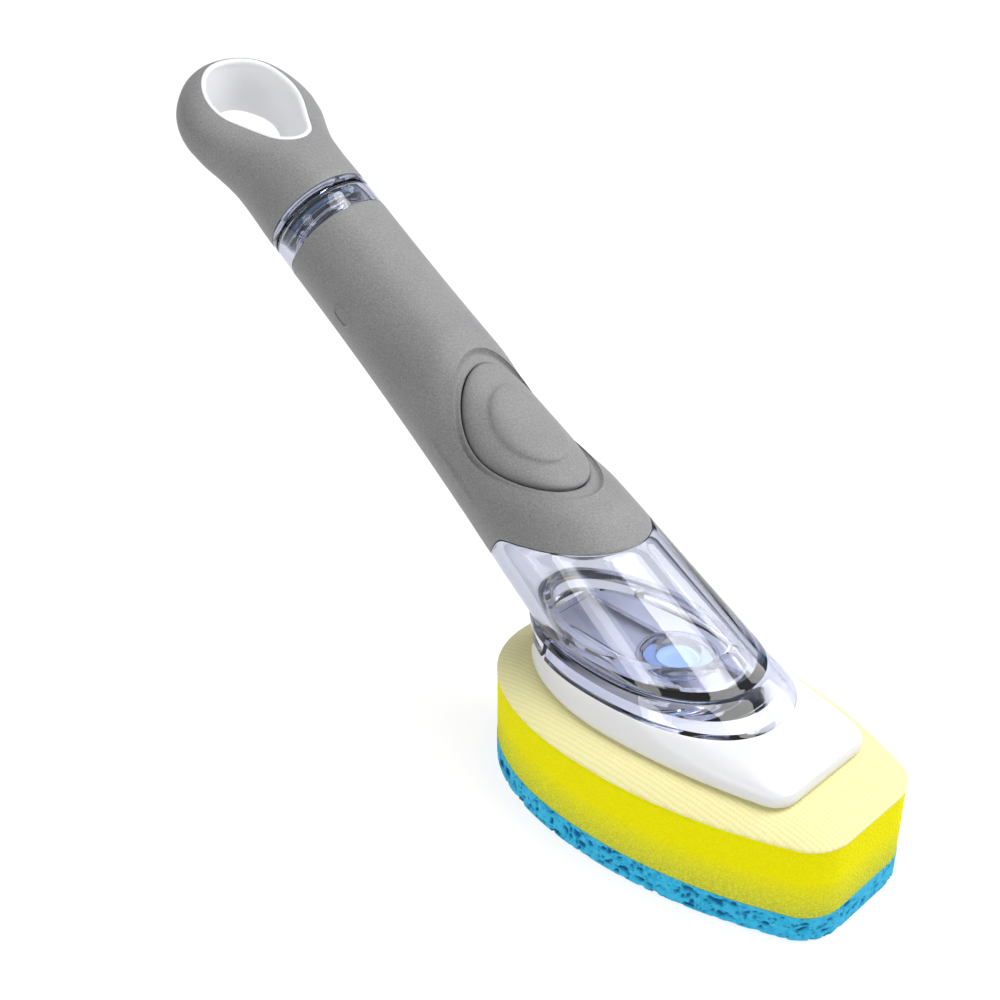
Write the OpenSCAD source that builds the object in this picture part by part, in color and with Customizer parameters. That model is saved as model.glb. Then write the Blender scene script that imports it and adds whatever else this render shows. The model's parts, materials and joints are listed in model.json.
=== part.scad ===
// Dish wand: a refillable soap handle on a slide-off sponge.
// The origin is the middle of the sponge's underside, +X points to the flat toe and +Z up.
// Handle pieces are drawn along their own axis: local Z runs up the handle from the seam,
// and local X points to the thumb side.

/* [Sponge refill] */
// Length of the sponge, heel to toe
sponge_l = 100; // [90:1:115]
// Width of the sponge at its widest
sponge_w = 59.6; // [54:0.1:68]
// Width of the sponge's flat toe, before its corners are rounded
sponge_toe_w = 32; // [24:0.5:40]
// How far behind the middle the sponge is widest
sponge_wide_back = 4.3; // [0:0.1:10]
// Roundness of the heel: 2 is an ellipse, more is squarer
heel_power = 2.25; // [2:0.05:2.8]
// Radius of the sponge's toe corners
sponge_corner_r = 11; // [4:0.5:14]
// Thickness of the scrubbing layer
scrub_t = 7; // [4:0.5:10]
// Thickness of the yellow foam at its edge
foam_t = 18.2; // [12:0.1:24]
// Thickness of the ribbed backing cloth
cloth_t = 0.6; // [0.5:0.1:1.5]
// Rise of the sponge's top from its edge to under the plate
crown_h = 2.7; // [1:0.1:4]

/* [Refill plate] */
// Height of the plate, sponge to foot
plate_h = 7.6; // [7:0.1:10]
// Length of the plate
plate_l = 80.6; // [76:0.5:86]
// Width of the plate's toe, before its corners are rounded
plate_toe_w = 31; // [24:0.5:34]
// How far the plate stands out past the foot's side
plate_lip = 1; // [0.6:0.1:2]
// Radius of the plate's toe corners
plate_corner_r = 6; // [3:0.5:8]
// Width of the foot's rail, across its flange
rail_w = 21.4; // [18:0.2:24]
// Width of the rail's stem
rail_stem_w = 13.4; // [12:0.2:15]
// Length of the rail
rail_l = 48; // [40:1:52]
// Thickness of the rail's flange
rail_flange_t = 2.5; // [2:0.1:2.8]
// Thickness of the plate over the rail's flange
rail_roof_t = 2; // [1.6:0.1:2.4]

/* [Foot] */
// Height of the foot from the plate to the seam
foot_h = 5.1; // [4.5:0.1:7]
// Height of the foot's plug inside the reservoir
plug_h = 3.2; // [2:0.1:5]
// How far the skirt stands out at the side
skirt_side = 2.4; // [1:0.1:4]
// How far the skirt stands out at the toe
skirt_toe = 8; // [4:0.5:10]
// How far the skirt is tucked in at the heel
heel_tuck = 4; // [2:0.5:6]
// Wall of the foot
foot_wall = 1.8; // [1.4:0.1:2.4]
// Thickness of the foot's floor
floor_t = 2.9; // [2.6:0.1:3.5]
// Thickness of the seam gasket
seal_t = 0.8; // [0.5:0.1:1.5]
// Diameter of the soap outlet
outlet_d = 9; // [6:0.5:10]
// Diameter of the valve's flange
valve_d = 14.6; // [13:0.2:17]
// Thickness of the valve's flange
valve_t = 1.2; // [0.8:0.1:1.5]
// Diameter of the valve retainer
retainer_d = 19; // [18:0.5:21]
// Thickness of the valve retainer
retainer_t = 1.5; // [1:0.1:2]
// Width of the slits beside the heel
slit_w = 1.5; // [1:0.1:2.5]

/* [Handle] */
// Angle of the handle above the floor
handle_angle = 33.8; // [32:0.2:38]
// How far behind the middle the handle's axis meets the seam
axis_back = 14; // [12:0.5:17]
// Diameter of the handle at its top
handle_top_d = 27.6; // [26:0.2:32]
// Diameter of the handle at the top of the clear bell
handle_low_d = 34.4; // [33:0.2:37]
// Width of the bell at the seam
bell_w = 37.8; // [36:0.2:41]
// Distance from the seam up to the top of the bell
bell_s = 28.3; // [27:0.5:32]
// Length of the grip sleeve at the back of the handle
grip_l = 85; // [78:1:95]
// How much further the sleeve reaches down on the thumb side
grip_tongue = 21; // [14:0.5:22]
// Height of the clear collar above the sleeve
collar_l = 6.5; // [5:0.5:9]
// Thickness of the grip sleeve
grip_t = 1.3; // [1:0.1:1.5]
// Wall of the clear reservoir
wall_t = 1.6; // [1.4:0.1:2]
// Length of the side marks in the sleeve
mark_l = 4.8; // [3:0.2:7]
// Width of the side marks
mark_w = 3; // [2:0.2:4]
// Distance of the side marks below the top of the sleeve
mark_down = 19.5; // [14:0.5:30]

/* [Thumb pad] */
// Distance from the top of the bell up to the middle of the pad
pad_up = 23.9; // [22:0.1:30]
// Length of the outer oval
ring_l = 44.8; // [42:0.2:46]
// Width of the outer oval
ring_w = 27.6; // [26.6:0.2:28]
// Length of the moving pad
pad_l = 37.2; // [30:0.2:38]
// Width of the moving pad
pad_w = 23.6; // [20:0.2:24]
// Length of the raised middle of the pad
pad_mid_l = 22.4; // [16:0.2:26]
// Width of the raised middle of the pad
pad_mid_w = 16.4; // [12:0.2:19]
// Depth of the pad's rim below the sleeve's surface
pad_step = 1; // [0.6:0.1:1.2]
// Height of the pad's raised middle
pad_rise = 0.3; // [0.2:0.1:0.5]
// Depth of the pad's underside below the sleeve's surface
pad_under = 4; // [3.4:0.1:4.5]

/* [Cap] */
// Height of the clear rim of the cap
rim_l = 1.9; // [1.4:0.1:3]
// Length of the cap from its rim to its end
cap_l = 48.4; // [46:0.2:54]
// Width of the flattened end
cap_w = 37.8; // [36:0.2:42]
// Thickness of the flattened end
cap_t = 16; // [14:0.5:18]
// Length of the plug below the rim
cap_plug_l = 9.8; // [9.4:0.1:10.2]
// Lead of the screw thread
thread_lead = 5; // [4.6:0.1:6]
// Depth of the thread
thread_depth = 0.85; // [0.7:0.05:0.9]
// Radius of the wide end of the teardrop hole
drop_r = 13.1; // [11:0.1:13.6]
// Radius of the narrow end of the teardrop hole
drop_tip_r = 7.8; // [6:0.1:9]
// Distance between the two ends' centres
drop_l = 10.7; // [9:0.1:12.5]
// Width of the cap's end past the hole
drop_edge = 2.6; // [2:0.1:6]
// Width of the white insert's lip on the thumb side
insert_t = 1.2; // [1:0.1:2]
// How much narrower the insert's hole is at the back
insert_taper = 1.4; // [0:0.1:2]

/* [Hidden] */
$fn = 64;

// Clearances
skin_gap = 0.05;
slide_gap = 0.3;
seat_gap = 0.15;
pad_gap = 0.4;
thread_gap = 0.35;
bore_gap = 0.15;
eps = 0.01;

// Reach of the cutting blocks, past whatever they cut
far = 2 * sponge_l;

// Heights above the floor
foam_edge_z = scrub_t + foam_t;
sponge_edge_z = foam_edge_z + cloth_t;
plate_z = sponge_edge_z + crown_h;
foot_z = plate_z + plate_h;
seam_z = foot_z + foot_h;
rim_z = seam_z + seal_t;

// Plan of the sponge
sponge_heel_x = -sponge_l / 2;
sponge_toe_x = sponge_l / 2;

// Plan of the bell's rim, where the handle's back and front lines meet the seam
axis_x = -axis_back;
low_r = handle_low_d / 2;
top_r = handle_top_d / 2;
rim_half_l = low_r / sin(handle_angle);
rim_heel_x = axis_x - rim_half_l;
rim_toe_x = axis_x + rim_half_l;
rim_wide_x = axis_x + 4;
rim_half_w = bell_w / 2;

// Plan of the foot's skirt and of the plate
skirt_heel_x = rim_heel_x + heel_tuck;
skirt_toe_x = rim_toe_x + skirt_toe;
skirt_half_w = rim_half_w + skirt_side;
plate_heel_x = skirt_heel_x - 2 * plate_lip;
plate_toe_x = plate_heel_x + plate_l;
plate_half_w = skirt_half_w + plate_lip;
rail_heel_x = skirt_heel_x + 3;
rail_toe_x = rail_heel_x + rail_l;
base_z = foot_z + seat_gap;
floor_z = base_z + floor_t;
plug_inset = grip_t + wall_t + 0.5;
valve_x = axis_x + 10;
slit_x = axis_x - 14;

// Stations along the handle's axis, from the seam
back_edge_s = bell_s + 7.5;
grip_top_s = back_edge_s + grip_l;
mouth_s = grip_top_s + collar_l;
flange_s = mouth_s + 0.2;
cap_s = flange_s + rim_l;
cap_end_s = cap_s + cap_l;
bulb_s = cap_end_s - cap_w / 2;
waist_s = cap_s + 15.2;
pad_s = bell_s + pad_up;
mark_s = grip_top_s - mark_down;

// Radii of the mouth, the plug and the thread between them
core_r = top_r - grip_t - skin_gap;
bore_r = core_r - wall_t;
land_r = bore_r - bore_gap;
plug_r = bore_r - thread_depth - thread_gap;
male_r = plug_r + thread_depth;
female_r = bore_r - thread_depth + 0.05;
land_l = 3;
ring_r = 0.65;
ring_gap = 0.3;
ring_mid_r = bore_r - ring_gap - ring_r;
ring_s = flange_s - land_l / 2;
plug_end_s = flange_s - cap_plug_l;
thread_s = plug_end_s + 1.1;

// Smooth outlines

// Plan of a boat: round heel, curved sides, flat toe with rounded corners
function boat(heel_x, toe_x, wide_x, half_w, half_toe, power, corner_r) =
  let (
    rise = half_w - half_toe,
    run = toe_x - wide_x,
    lean = atan(2 * rise / run),
    back = corner_r * tan((90 - lean) / 2),
    side_end = toe_x - back * cos(lean),
    heel = [for (a = [0:7.5:90]) [
      wide_x - (wide_x - heel_x) * pow(cos(a), 2 / power),
      half_w * pow(sin(a), 2 / power)
    ]],
    side = [for (k = [1:10]) let (x = wide_x + (side_end - wide_x) * k / 10)
      [x, half_w - rise * pow((x - wide_x) / run, 2)]],
    corner = [for (k = [4:-1:0]) let (a = (90 - lean) * k / 5) [
      toe_x - corner_r + corner_r * cos(a),
      half_toe - back + corner_r * sin(a)
    ]],
    half = concat(heel, side, corner)
  )
  concat(half, [for (i = [len(half) - 1:-1:1]) [half[i][0], -half[i][1]]]);

// Plan of an egg: two half ovals that share their widest line
function egg(heel_x, toe_x, wide_x, half_w, power = 2) = [
  for (a = [0:7.5:352.5])
    let (
      c = cos(a),
      s = sin(a),
      reach = c > 0 ? toe_x - wide_x : wide_x - heel_x
    )
    [
      wide_x + reach * sign(c) * pow(abs(c), 2 / power),
      half_w * sign(s) * pow(abs(s), 2 / power)
    ]
];

// Radius of the handle's outside at a station, a gentle flare down to the bell
function handle_r(s) =
  top_r + (low_r - top_r) * pow(max(grip_top_s - s, 0) / (grip_top_s - bell_s), 2);

module sponge_plan(inset = 0) {
  polygon(boat(
    sponge_heel_x + inset, sponge_toe_x - inset, -sponge_wide_back,
    sponge_w / 2 - inset, sponge_toe_w / 2 - inset / 2, heel_power, sponge_corner_r
  ));
}

module plate_plan(inset = 0) {
  polygon(boat(
    plate_heel_x + inset, plate_toe_x - inset, skirt_heel_x + 0.5 * (plate_toe_x - skirt_heel_x) - 5,
    plate_half_w - inset, plate_toe_w / 2 - inset, 2, plate_corner_r
  ));
}

module skirt_plan(inset = 0) {
  polygon(egg(
    skirt_heel_x + inset, skirt_toe_x - inset, rim_wide_x, skirt_half_w - inset, 2.3
  ));
}

module rim_plan(inset = 0) {
  polygon(egg(rim_heel_x + inset, rim_toe_x - inset, rim_wide_x, rim_half_w - inset, 2.15));
}

// A thin slice of a plan at a height
module slice(z, t = 0.2) {
  translate([0, 0, z])
    linear_extrude(t)
      children();
}

// Moves its children from the handle's axis to their place in the wand
module on_axis() {
  translate([axis_x, 0, seam_z])
    rotate([0, handle_angle - 90, 0])
      children();
}

// The handle's outside skin, drawn in by an inset
module handle_tube(inset = 0) {
  steps = 6;
  span = grip_top_s - bell_s;
  rotate_extrude()
    polygon(concat(
      [[0, bell_s]],
      [for (k = [0:steps]) let (s = bell_s + span * k / steps) [handle_r(s) - inset, s]],
      [[0, grip_top_s]]
    ));
}

// The same skin as a stack of short cones, for the moulded tube
module handle_cones(inset = 0) {
  steps = 6;
  rise = (grip_top_s - bell_s) / steps;
  for (k = [0:steps - 1]) {
    foot_s = bell_s + rise * k;
    translate([0, 0, foot_s])
      hull()
        cylinder(r1 = handle_r(foot_s) - inset, r2 = handle_r(foot_s + rise) - inset, h = rise);
  }
}

// The bell between the round handle and the oval rim, in the wand's own place
module bell(inset = 0, drop = 0) {
  hull() {
    slice(rim_z - drop)
      rim_plan(inset);
    on_axis()
      translate([0, 0, bell_s])
        cylinder(r = low_r - inset - 0.05, h = 0.4, $fn = 48);
  }
}

// The handle's skin from the rim to the collar
module skin(inset = 0) {
  bell(inset);
  on_axis()
    handle_tube(inset);
}

// The skin of the moulded tube, which can reach below the rim to cut it open
module tube_skin(inset = 0, drop = 0) {
  bell(inset, drop);
  on_axis()
    handle_cones(inset);
}

// Where the sleeve lies: straight across the back, a slanting tongue on the thumb side
module sleeve_zone(gap = 0) {
  reach = 2 * low_r;
  slope = grip_tongue / low_r;
  top_s = grip_top_s - skin_gap + 2 * gap;
  on_axis()
    rotate([90, 0, 0])
      linear_extrude(2 * reach, center = true)
        polygon([
          [-reach, back_edge_s - gap],
          [0, back_edge_s - gap],
          [reach, back_edge_s - gap - slope * reach],
          [reach, top_s],
          [-reach, top_s]
        ]);
}

// An upright oval column on the thumb side
module thumb_column(l, w) {
  on_axis()
    translate([2, 0, pad_s])
      rotate([0, 90, 0])
        linear_extrude(22)
          polygon([for (a = [0:7.5:352.5]) [l / 2 * cos(a), w / 2 * sin(a)]]);
}

// A round-ended mark through the sleeve on each side
module side_marks(grow = 0) {
  flat_l = (mark_l - mark_w) / 2;
  for (side = [-1, 1])
    on_axis()
      translate([0, side * (handle_r(mark_s) - 1.6), mark_s])
        rotate([-90 * side, 0, 0])
          linear_extrude(4)
            union() {
              square([mark_w + 2 * grow, 2 * flat_l], center = true);
              for (end = [-1, 1])
                translate([0, end * flat_l])
                  circle(d = mark_w + 2 * grow);
            }
}

// One turn of a screw ridge between two radii, fading in and out at its ends
module ridge(root, crest, start_s, turn_from) {
  steps = 36;
  root_half = 1;
  crest_half = 0.6;
  function fade(k) = min(1, k / 4, (steps - k) / 4);
  points = [
    for (k = [0:steps])
      let (
        a = turn_from + 360 * k / steps,
        z = start_s + thread_lead * k / steps,
        tip = root + (crest - root) * (0.1 + 0.9 * fade(k)),
        c = cos(a),
        s = sin(a)
      )
      each [
        [root * c, root * s, z - root_half],
        [tip * c, tip * s, z - crest_half],
        [tip * c, tip * s, z + crest_half],
        [root * c, root * s, z + root_half]
      ]
  ];
  inward = crest < root;
  sides = [
    for (k = [0:steps - 1], j = [0:3])
      let (
        a = 4 * k + j,
        b = 4 * k + (j + 1) % 4
      )
      each [[a, a + 4, b + 4], [a, b + 4, b]]
  ];
  ends = [
    [0, 1, 2], [0, 2, 3],
    [4 * steps + 2, 4 * steps + 1, 4 * steps], [4 * steps + 3, 4 * steps + 2, 4 * steps]
  ];
  faces = concat(sides, ends);
  polyhedron(points, inward ? faces : [for (f = faces) [f[2], f[1], f[0]]]);
}

// Clear moulded tube with the bell, the collar and the screwed mouth
module reservoir_body() {
  color("lightsteelblue", 0.5)
    union() {
      difference() {
        union() {
          tube_skin(grip_t + skin_gap);
          difference() {
            tube_skin();
            sleeve_zone(skin_gap);
          }
          on_axis()
            translate([0, 0, grip_top_s - eps])
              cylinder(r = top_r - 0.1, h = mouth_s - grip_top_s + eps);
        }
        tube_skin(grip_t + skin_gap + wall_t, 1);
        on_axis()
          translate([0, 0, plug_end_s - 1.5])
            cylinder(r = bore_r, h = mouth_s - plug_end_s + 3);
        thumb_column(ring_l, ring_w);
        slice(rim_z - far, far)
          square(2 * far, center = true);
      }
      on_axis()
        ridge(bore_r + 0.3, female_r, thread_s, 180);
    }
}

// Grey soft sleeve moulded round the reservoir
module grip_sleeve() {
  color("gray")
    difference() {
      intersection() {
        skin();
        sleeve_zone();
      }
      skin(grip_t);
      thumb_column(ring_l, ring_w);
      side_marks();
    }
}

// Soft stepped ring that carries the thumb pad
module pad_ring() {
  color("dimgray")
    difference() {
      intersection() {
        thumb_column(ring_l - 2 * skin_gap, ring_w - 2 * skin_gap);
        on_axis()
          handle_tube(grip_t);
      }
      on_axis()
        handle_tube(grip_t + skin_gap + wall_t);
      thumb_column(pad_l + 2 * pad_gap, pad_w + 2 * pad_gap);
    }
}

// Soft pad that the thumb presses into the reservoir
module thumb_pad() {
  color("darkgray")
    difference() {
      union() {
        intersection() {
          thumb_column(pad_l, pad_w);
          on_axis()
            handle_tube(pad_step);
        }
        intersection() {
          thumb_column(pad_mid_l, pad_mid_w);
          on_axis()
            handle_tube(pad_step - pad_rise);
        }
      }
      on_axis()
        handle_tube(pad_under);
    }
}

// Clear screw plug of the cap, with its visible rim and a post for the grip
module cap_core() {
  post_r = plug_r - 0.7;
  post_l = 12;
  hollow_r = plug_r - 1.9;
  color("lightsteelblue", 0.6)
    on_axis()
      union() {
        difference() {
          union() {
            translate([0, 0, plug_end_s])
              cylinder(r = plug_r, h = cap_plug_l + eps);
            translate([0, 0, flange_s - land_l])
              cylinder(r = land_r, h = land_l + eps);
            translate([0, 0, flange_s])
              cylinder(r = top_r - 0.1, h = rim_l);
            translate([0, 0, cap_s - eps])
              cylinder(r = post_r, h = post_l);
          }
          translate([0, 0, plug_end_s - 1])
            cylinder(r = hollow_r, h = cap_plug_l + rim_l + 8);
          translate([0, 0, ring_s])
            rotate_extrude()
              translate([ring_mid_r, 0])
                circle(r = ring_r + ring_gap);
        }
        ridge(plug_r - 0.3, male_r, thread_s, 0);
      }
}

// Slice of the cap's waist, flatter than it is wide
module cap_waist() {
  half_v = 0.81 * top_r;
  translate([0, 0, waist_s])
    linear_extrude(0.2)
      polygon(egg(-half_v, half_v, 0, top_r + 0.1, 2.4));
}

// The cap's outer form: round at the rim, flat and broad at its end
module cap_form() {
  tube_r = cap_t / 2;
  forward = 0.8;
  on_axis() {
    hull() {
      translate([0, 0, cap_s + skin_gap])
        cylinder(r = top_r, h = 3);
      cap_waist();
    }
    hull() {
      cap_waist();
      translate([forward, 0, bulb_s])
        rotate([0, 90, 0])
          rotate_extrude($fn = 40)
            translate([cap_w / 2 - tube_r, 0])
              circle(r = tube_r, $fn = 24);
    }
  }
}

// Outline of the teardrop hole, its wide end towards the cap's end
function drop(inset = 0) =
  let (
    wide_s = cap_end_s - drop_edge - drop_r,
    half_turn = 90 + asin((drop_r - drop_tip_r) / drop_l),
    wide = [for (k = [0:20]) let (a = half_turn * (k / 10 - 1), r = drop_r - inset)
      [-wide_s - r * cos(a), r * sin(a)]],
    tip = [for (k = [0:8]) let (a = half_turn + (180 - half_turn) * k / 4, r = drop_tip_r - inset)
      [drop_l - wide_s - r * cos(a), r * sin(a)]]
  )
  concat(wide, tip);

// A straight cut through the cap on the teardrop's outline
module teardrop(inset = 0) {
  on_axis()
    translate([-far / 2, 0, 0])
      rotate([0, 90, 0])
        linear_extrude(far)
          polygon(drop(inset));
}

// The teardrop's inside, narrower towards the back of the cap
module tapered_teardrop() {
  reach = 12;
  on_axis()
    rotate([0, 90, 0])
      hull() {
        translate([0, 0, -reach])
          linear_extrude(0.2)
            polygon(drop(insert_t + insert_taper));
        translate([0, 0, reach])
          linear_extrude(0.2)
            polygon(drop(insert_t));
      }
}

// Grey soft skin of the cap
module cap_grip() {
  color("gray")
    difference() {
      cap_form();
      teardrop();
      on_axis()
        translate([0, 0, cap_s - 1])
          cylinder(r = plug_r - 0.7 + skin_gap, h = 13.2);
    }
}

// White liner of the hanging hole
module hang_insert() {
  color("white")
    difference() {
      intersection() {
        cap_form();
        teardrop(skin_gap);
      }
      tapered_teardrop();
    }
}

// Soft ring that seals the plug in the mouth
module cap_seal_ring() {
  color("steelblue")
    on_axis()
      translate([0, 0, ring_s])
        rotate_extrude()
          translate([ring_mid_r, 0])
            circle(r = ring_r);
}

// The foot's skirt, sloping in from the plate up to the seam
module foot_skirt(inset = 0) {
  hull() {
    slice(base_z)
      skirt_plan(inset);
    slice(seam_z - 0.2)
      rim_plan(inset);
  }
}

// The hollow under the skirt, clear of the floor's middle and of the rail
module skirt_hollow() {
  translate([0, 0, -eps])
    intersection() {
      foot_skirt(foot_wall);
      slice(base_z, floor_t - 1)
        difference() {
          skirt_plan();
          rim_plan(plug_inset - 0.6);
          translate([rail_heel_x - 10, -rail_w / 2])
            square([rail_l + 12, rail_w]);
        }
    }
}

// Room inside the bell over a plan, upright at the heel and sloping in at the toe
module inside_bell(inset) {
  intersection() {
    bell(inset, seal_t + 0.2);
    slice(seam_z - 0.1, far)
      rim_plan(inset + 0.05);
  }
}

// Clear foot: skirt, floor with the valve seat, plug and slide rail
module foot_base() {
  slit_depth = 6;
  color("lightsteelblue", 0.5)
    difference() {
      union() {
        foot_skirt();
        intersection() {
          inside_bell(plug_inset);
          slice(seam_z - 0.15, plug_h + 0.15)
            square(2 * far, center = true);
        }
        foot_rail();
      }
      slice(floor_z, seam_z - floor_z)
        rim_plan(plug_inset + foot_wall);
      inside_bell(plug_inset + foot_wall);
      skirt_hollow();
      translate([valve_x, 0, floor_z - valve_t - 0.2])
        cylinder(d = valve_d + 0.2, h = 10);
      translate([valve_x, 0, plate_z])
        cylinder(d = outlet_d, h = 12);
      for (side = [-1, 1])
        translate([slit_x, side * (skirt_half_w - slit_depth / 2), base_z + foot_h / 2 - 1.4])
          cube([slit_w, slit_depth, foot_h - 0.8], center = true);
    }
}

// T-shaped rail under the foot that carries the refill
module foot_rail() {
  flange_top = foot_z - rail_roof_t - slide_gap;
  translate([rail_heel_x, -rail_stem_w / 2, flange_top - eps])
    cube([rail_l, rail_stem_w, base_z - flange_top + 2 * eps]);
  translate([rail_heel_x, -rail_w / 2, flange_top - rail_flange_t])
    cube([rail_l, rail_w, rail_flange_t]);
}

// Flat oval gasket in the seam between the foot and the bell
module foot_gasket() {
  color("midnightblue")
    slice(seam_z, seal_t)
      difference() {
        rim_plan(0.6);
        rim_plan(plug_inset - 0.1);
      }
}

// Blue slit valve over the soap outlet
module outlet_valve() {
  seat_z = floor_z - valve_t - 0.2;
  dome_r = outlet_d / 2 - 0.6;
  color("cornflowerblue")
    translate([valve_x, 0, seat_z])
      difference() {
        union() {
          cylinder(d = valve_d, h = valve_t);
          translate([0, 0, -1.6])
            cylinder(r1 = dome_r - 1, r2 = dome_r, h = 1.6 + eps);
        }
        translate([0, 0, 0.4])
          cylinder(r1 = dome_r - 0.8, r2 = dome_r, h = valve_t);
        for (turn = [0, 90])
          rotate([0, 0, turn])
            cube([4, 0.3, 6], center = true);
      }
}

// Clear ring that holds the valve down
module valve_retainer() {
  color("lightsteelblue", 0.7)
    translate([valve_x, 0, floor_z + eps])
      difference() {
        union() {
          cylinder(d = retainer_d, h = retainer_t * 0.6);
          cylinder(d = retainer_d - 3, h = retainer_t);
        }
        translate([0, 0, -1])
          cylinder(d = valve_d - 3, h = 6);
      }
}

// White plate welded to the sponge, with a channel for the foot's rail
module refill_plate() {
  channel_top = foot_z - rail_roof_t;
  channel_z = channel_top - rail_flange_t - 2 * slide_gap;
  color("white")
    difference() {
      hull() {
        slice(plate_z)
          plate_plan(1.4);
        slice(plate_z + 1.2, 1.4)
          plate_plan();
        slice(plate_z + 0.62 * plate_h)
          plate_plan(1.6);
        slice(foot_z - 0.2)
          skirt_plan(0.4);
      }
      translate([plate_heel_x - 5, -rail_stem_w / 2 - slide_gap, channel_z])
        cube([rail_toe_x - plate_heel_x + 5 + slide_gap, rail_stem_w + 2 * slide_gap, 20]);
      translate([plate_heel_x - 5, -rail_w / 2 - slide_gap, channel_z])
        cube([rail_toe_x - plate_heel_x + 5 + slide_gap, rail_w + 2 * slide_gap, channel_top - channel_z]);
      translate([valve_x, 0, plate_z - 1])
        cylinder(d = outlet_d, h = plate_h);
    }
}

// The sponge's crown, lowered by a thickness of cloth
module sponge_crown(down = 0) {
  hull() {
    slice(sponge_edge_z - down - 0.2)
      sponge_plan();
    slice(sponge_edge_z + 0.6 * crown_h - down - 0.2)
      sponge_plan(3);
    slice(plate_z - down - 0.2)
      sponge_plan(7.5);
  }
}

// Cream ribbed cloth that backs the foam
module sponge_cloth() {
  color("moccasin")
    difference() {
      union() {
        slice(foam_edge_z, cloth_t)
          sponge_plan();
        sponge_crown();
      }
      sponge_crown(cloth_t);
      translate([valve_x, 0, foam_edge_z])
        cylinder(d = outlet_d, h = 20);
    }
}

// Yellow foam body of the sponge
module sponge_foam() {
  color("yellow")
    union() {
      slice(scrub_t, foam_t)
        sponge_plan();
      sponge_crown(cloth_t);
    }
}

// Blue cellulose scrubbing layer
module scrub_layer() {
  color("deepskyblue")
    linear_extrude(scrub_t)
      sponge_plan();
}

reservoir_body();
grip_sleeve();
pad_ring();
thumb_pad();
cap_core();
cap_grip();
hang_insert();
cap_seal_ring();
foot_base();
foot_gasket();
outlet_valve();
valve_retainer();
refill_plate();
sponge_cloth();
sponge_foam();
scrub_layer();
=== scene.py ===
"""Dish wand: a soap-filled handle that stands on a slide-off sponge.

Sizes are in millimetres and turned into metres as each point is laid. The wand's own frame has
its origin under the middle of the sponge, +X towards the flat toe and +Z up. A station is a
distance up the handle's leaning axis, and an inset is a distance inwards from an outline.
"""

import json
import logging
import math
from abc import ABC, abstractmethod
from dataclasses import dataclass
from enum import Enum
from functools import lru_cache
from typing import Callable, Iterable, Sequence

import bmesh
import bpy
from mathutils import Matrix, Vector, noise

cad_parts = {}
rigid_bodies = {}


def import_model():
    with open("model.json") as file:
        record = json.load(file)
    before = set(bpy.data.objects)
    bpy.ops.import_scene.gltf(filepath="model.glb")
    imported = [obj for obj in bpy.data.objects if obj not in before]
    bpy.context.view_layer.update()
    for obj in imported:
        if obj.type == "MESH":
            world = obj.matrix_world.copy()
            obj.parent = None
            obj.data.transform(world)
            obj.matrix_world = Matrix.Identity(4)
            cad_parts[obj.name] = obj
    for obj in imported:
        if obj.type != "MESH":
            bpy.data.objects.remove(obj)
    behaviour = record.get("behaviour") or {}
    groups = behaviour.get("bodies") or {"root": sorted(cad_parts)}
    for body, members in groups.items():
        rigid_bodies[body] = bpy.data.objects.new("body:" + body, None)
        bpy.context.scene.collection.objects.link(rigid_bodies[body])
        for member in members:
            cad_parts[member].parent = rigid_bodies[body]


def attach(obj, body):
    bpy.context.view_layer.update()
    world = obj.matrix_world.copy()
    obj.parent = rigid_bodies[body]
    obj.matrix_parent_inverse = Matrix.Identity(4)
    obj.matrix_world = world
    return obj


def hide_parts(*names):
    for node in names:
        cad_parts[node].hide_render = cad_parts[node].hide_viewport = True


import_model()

log = logging.getLogger("dish_wand")

Mesh = bmesh.types.BMesh
Socket = bpy.types.NodeSocket
Pair = tuple[float, float]
Triple = tuple[float, float, float]
Row = Callable[[float], Vector]

MM = 0.001
TURN = 2 * math.pi
WELD = 1.5e-6
BOAT_STEPS = (48, 40, 16)
DROP_STEPS = 64


class Body(Enum):
    """The wand's moving bodies."""

    HANDLE = "handle"
    BUTTON = "button"
    CAP_SEAL = "cap_seal"
    CAP = "cap"
    REFILL = "refill"


class Slot(Enum):
    """Finish slot names listed beside the wand's pieces; no piece is given one."""

    CLEAR = "clear_plastic"
    GRIP = "grip_grey"
    INSERT = "insert_white"
    SEAL = "seal_dark"
    VALVE = "valve_blue"
    PLATE = "plate_white"
    CLOTH = "cloth_cream"
    FOAM = "foam_yellow"
    SCRUB = "scrub_blue"


class Work(Enum):
    """What a tool does to the mesh that it meets."""

    CUT = "DIFFERENCE"
    JOIN = "UNION"


# Mesh shaping


def rows_of(point: Callable[..., Vector], steps: Iterable[tuple[float, ...]]) -> list[Row]:
    """Rows for lofting, each from the same function of an angle and its own numbers."""
    return [lambda turn, step=step: point(turn, *step) for step in steps]


def pole(x: float, z: float) -> Row:
    """Row that shrinks to one point on the middle plane."""
    return lambda turn: Vector((x, 0, z))


def welded(mesh: Mesh) -> Mesh:
    """Merges a closed mesh's doubles and turns its faces outward.

    Args:
        mesh: The mesh, changed in place.

    Returns:
        The same mesh.
    """
    bmesh.ops.remove_doubles(mesh, verts=mesh.verts, dist=WELD)
    bmesh.ops.recalc_face_normals(mesh, faces=mesh.faces)
    return mesh


def lofted(rows: Sequence[Row], across: int = 128) -> Mesh:
    """Skins closed rows of points, welding the seam, any poles and a row that comes back.

    Args:
        rows: Each row gives a point, in millimetres, for an angle in radians.
        across: Faces round each row.

    Returns:
        A mesh in metres with its faces outward.
    """
    mesh = bmesh.new()
    along = len(rows) - 1
    bmesh.ops.create_grid(mesh, x_segments=across, y_segments=along, size=0.5)
    reach = max(vert.co.x for vert in mesh.verts)
    for vert in mesh.verts:
        turn = round((vert.co.x / reach + 1) / 2 * across)
        row = round((vert.co.y / reach + 1) / 2 * along)
        vert.co = rows[row](TURN * (turn % across) / across) * MM
    return welded(mesh)


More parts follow.
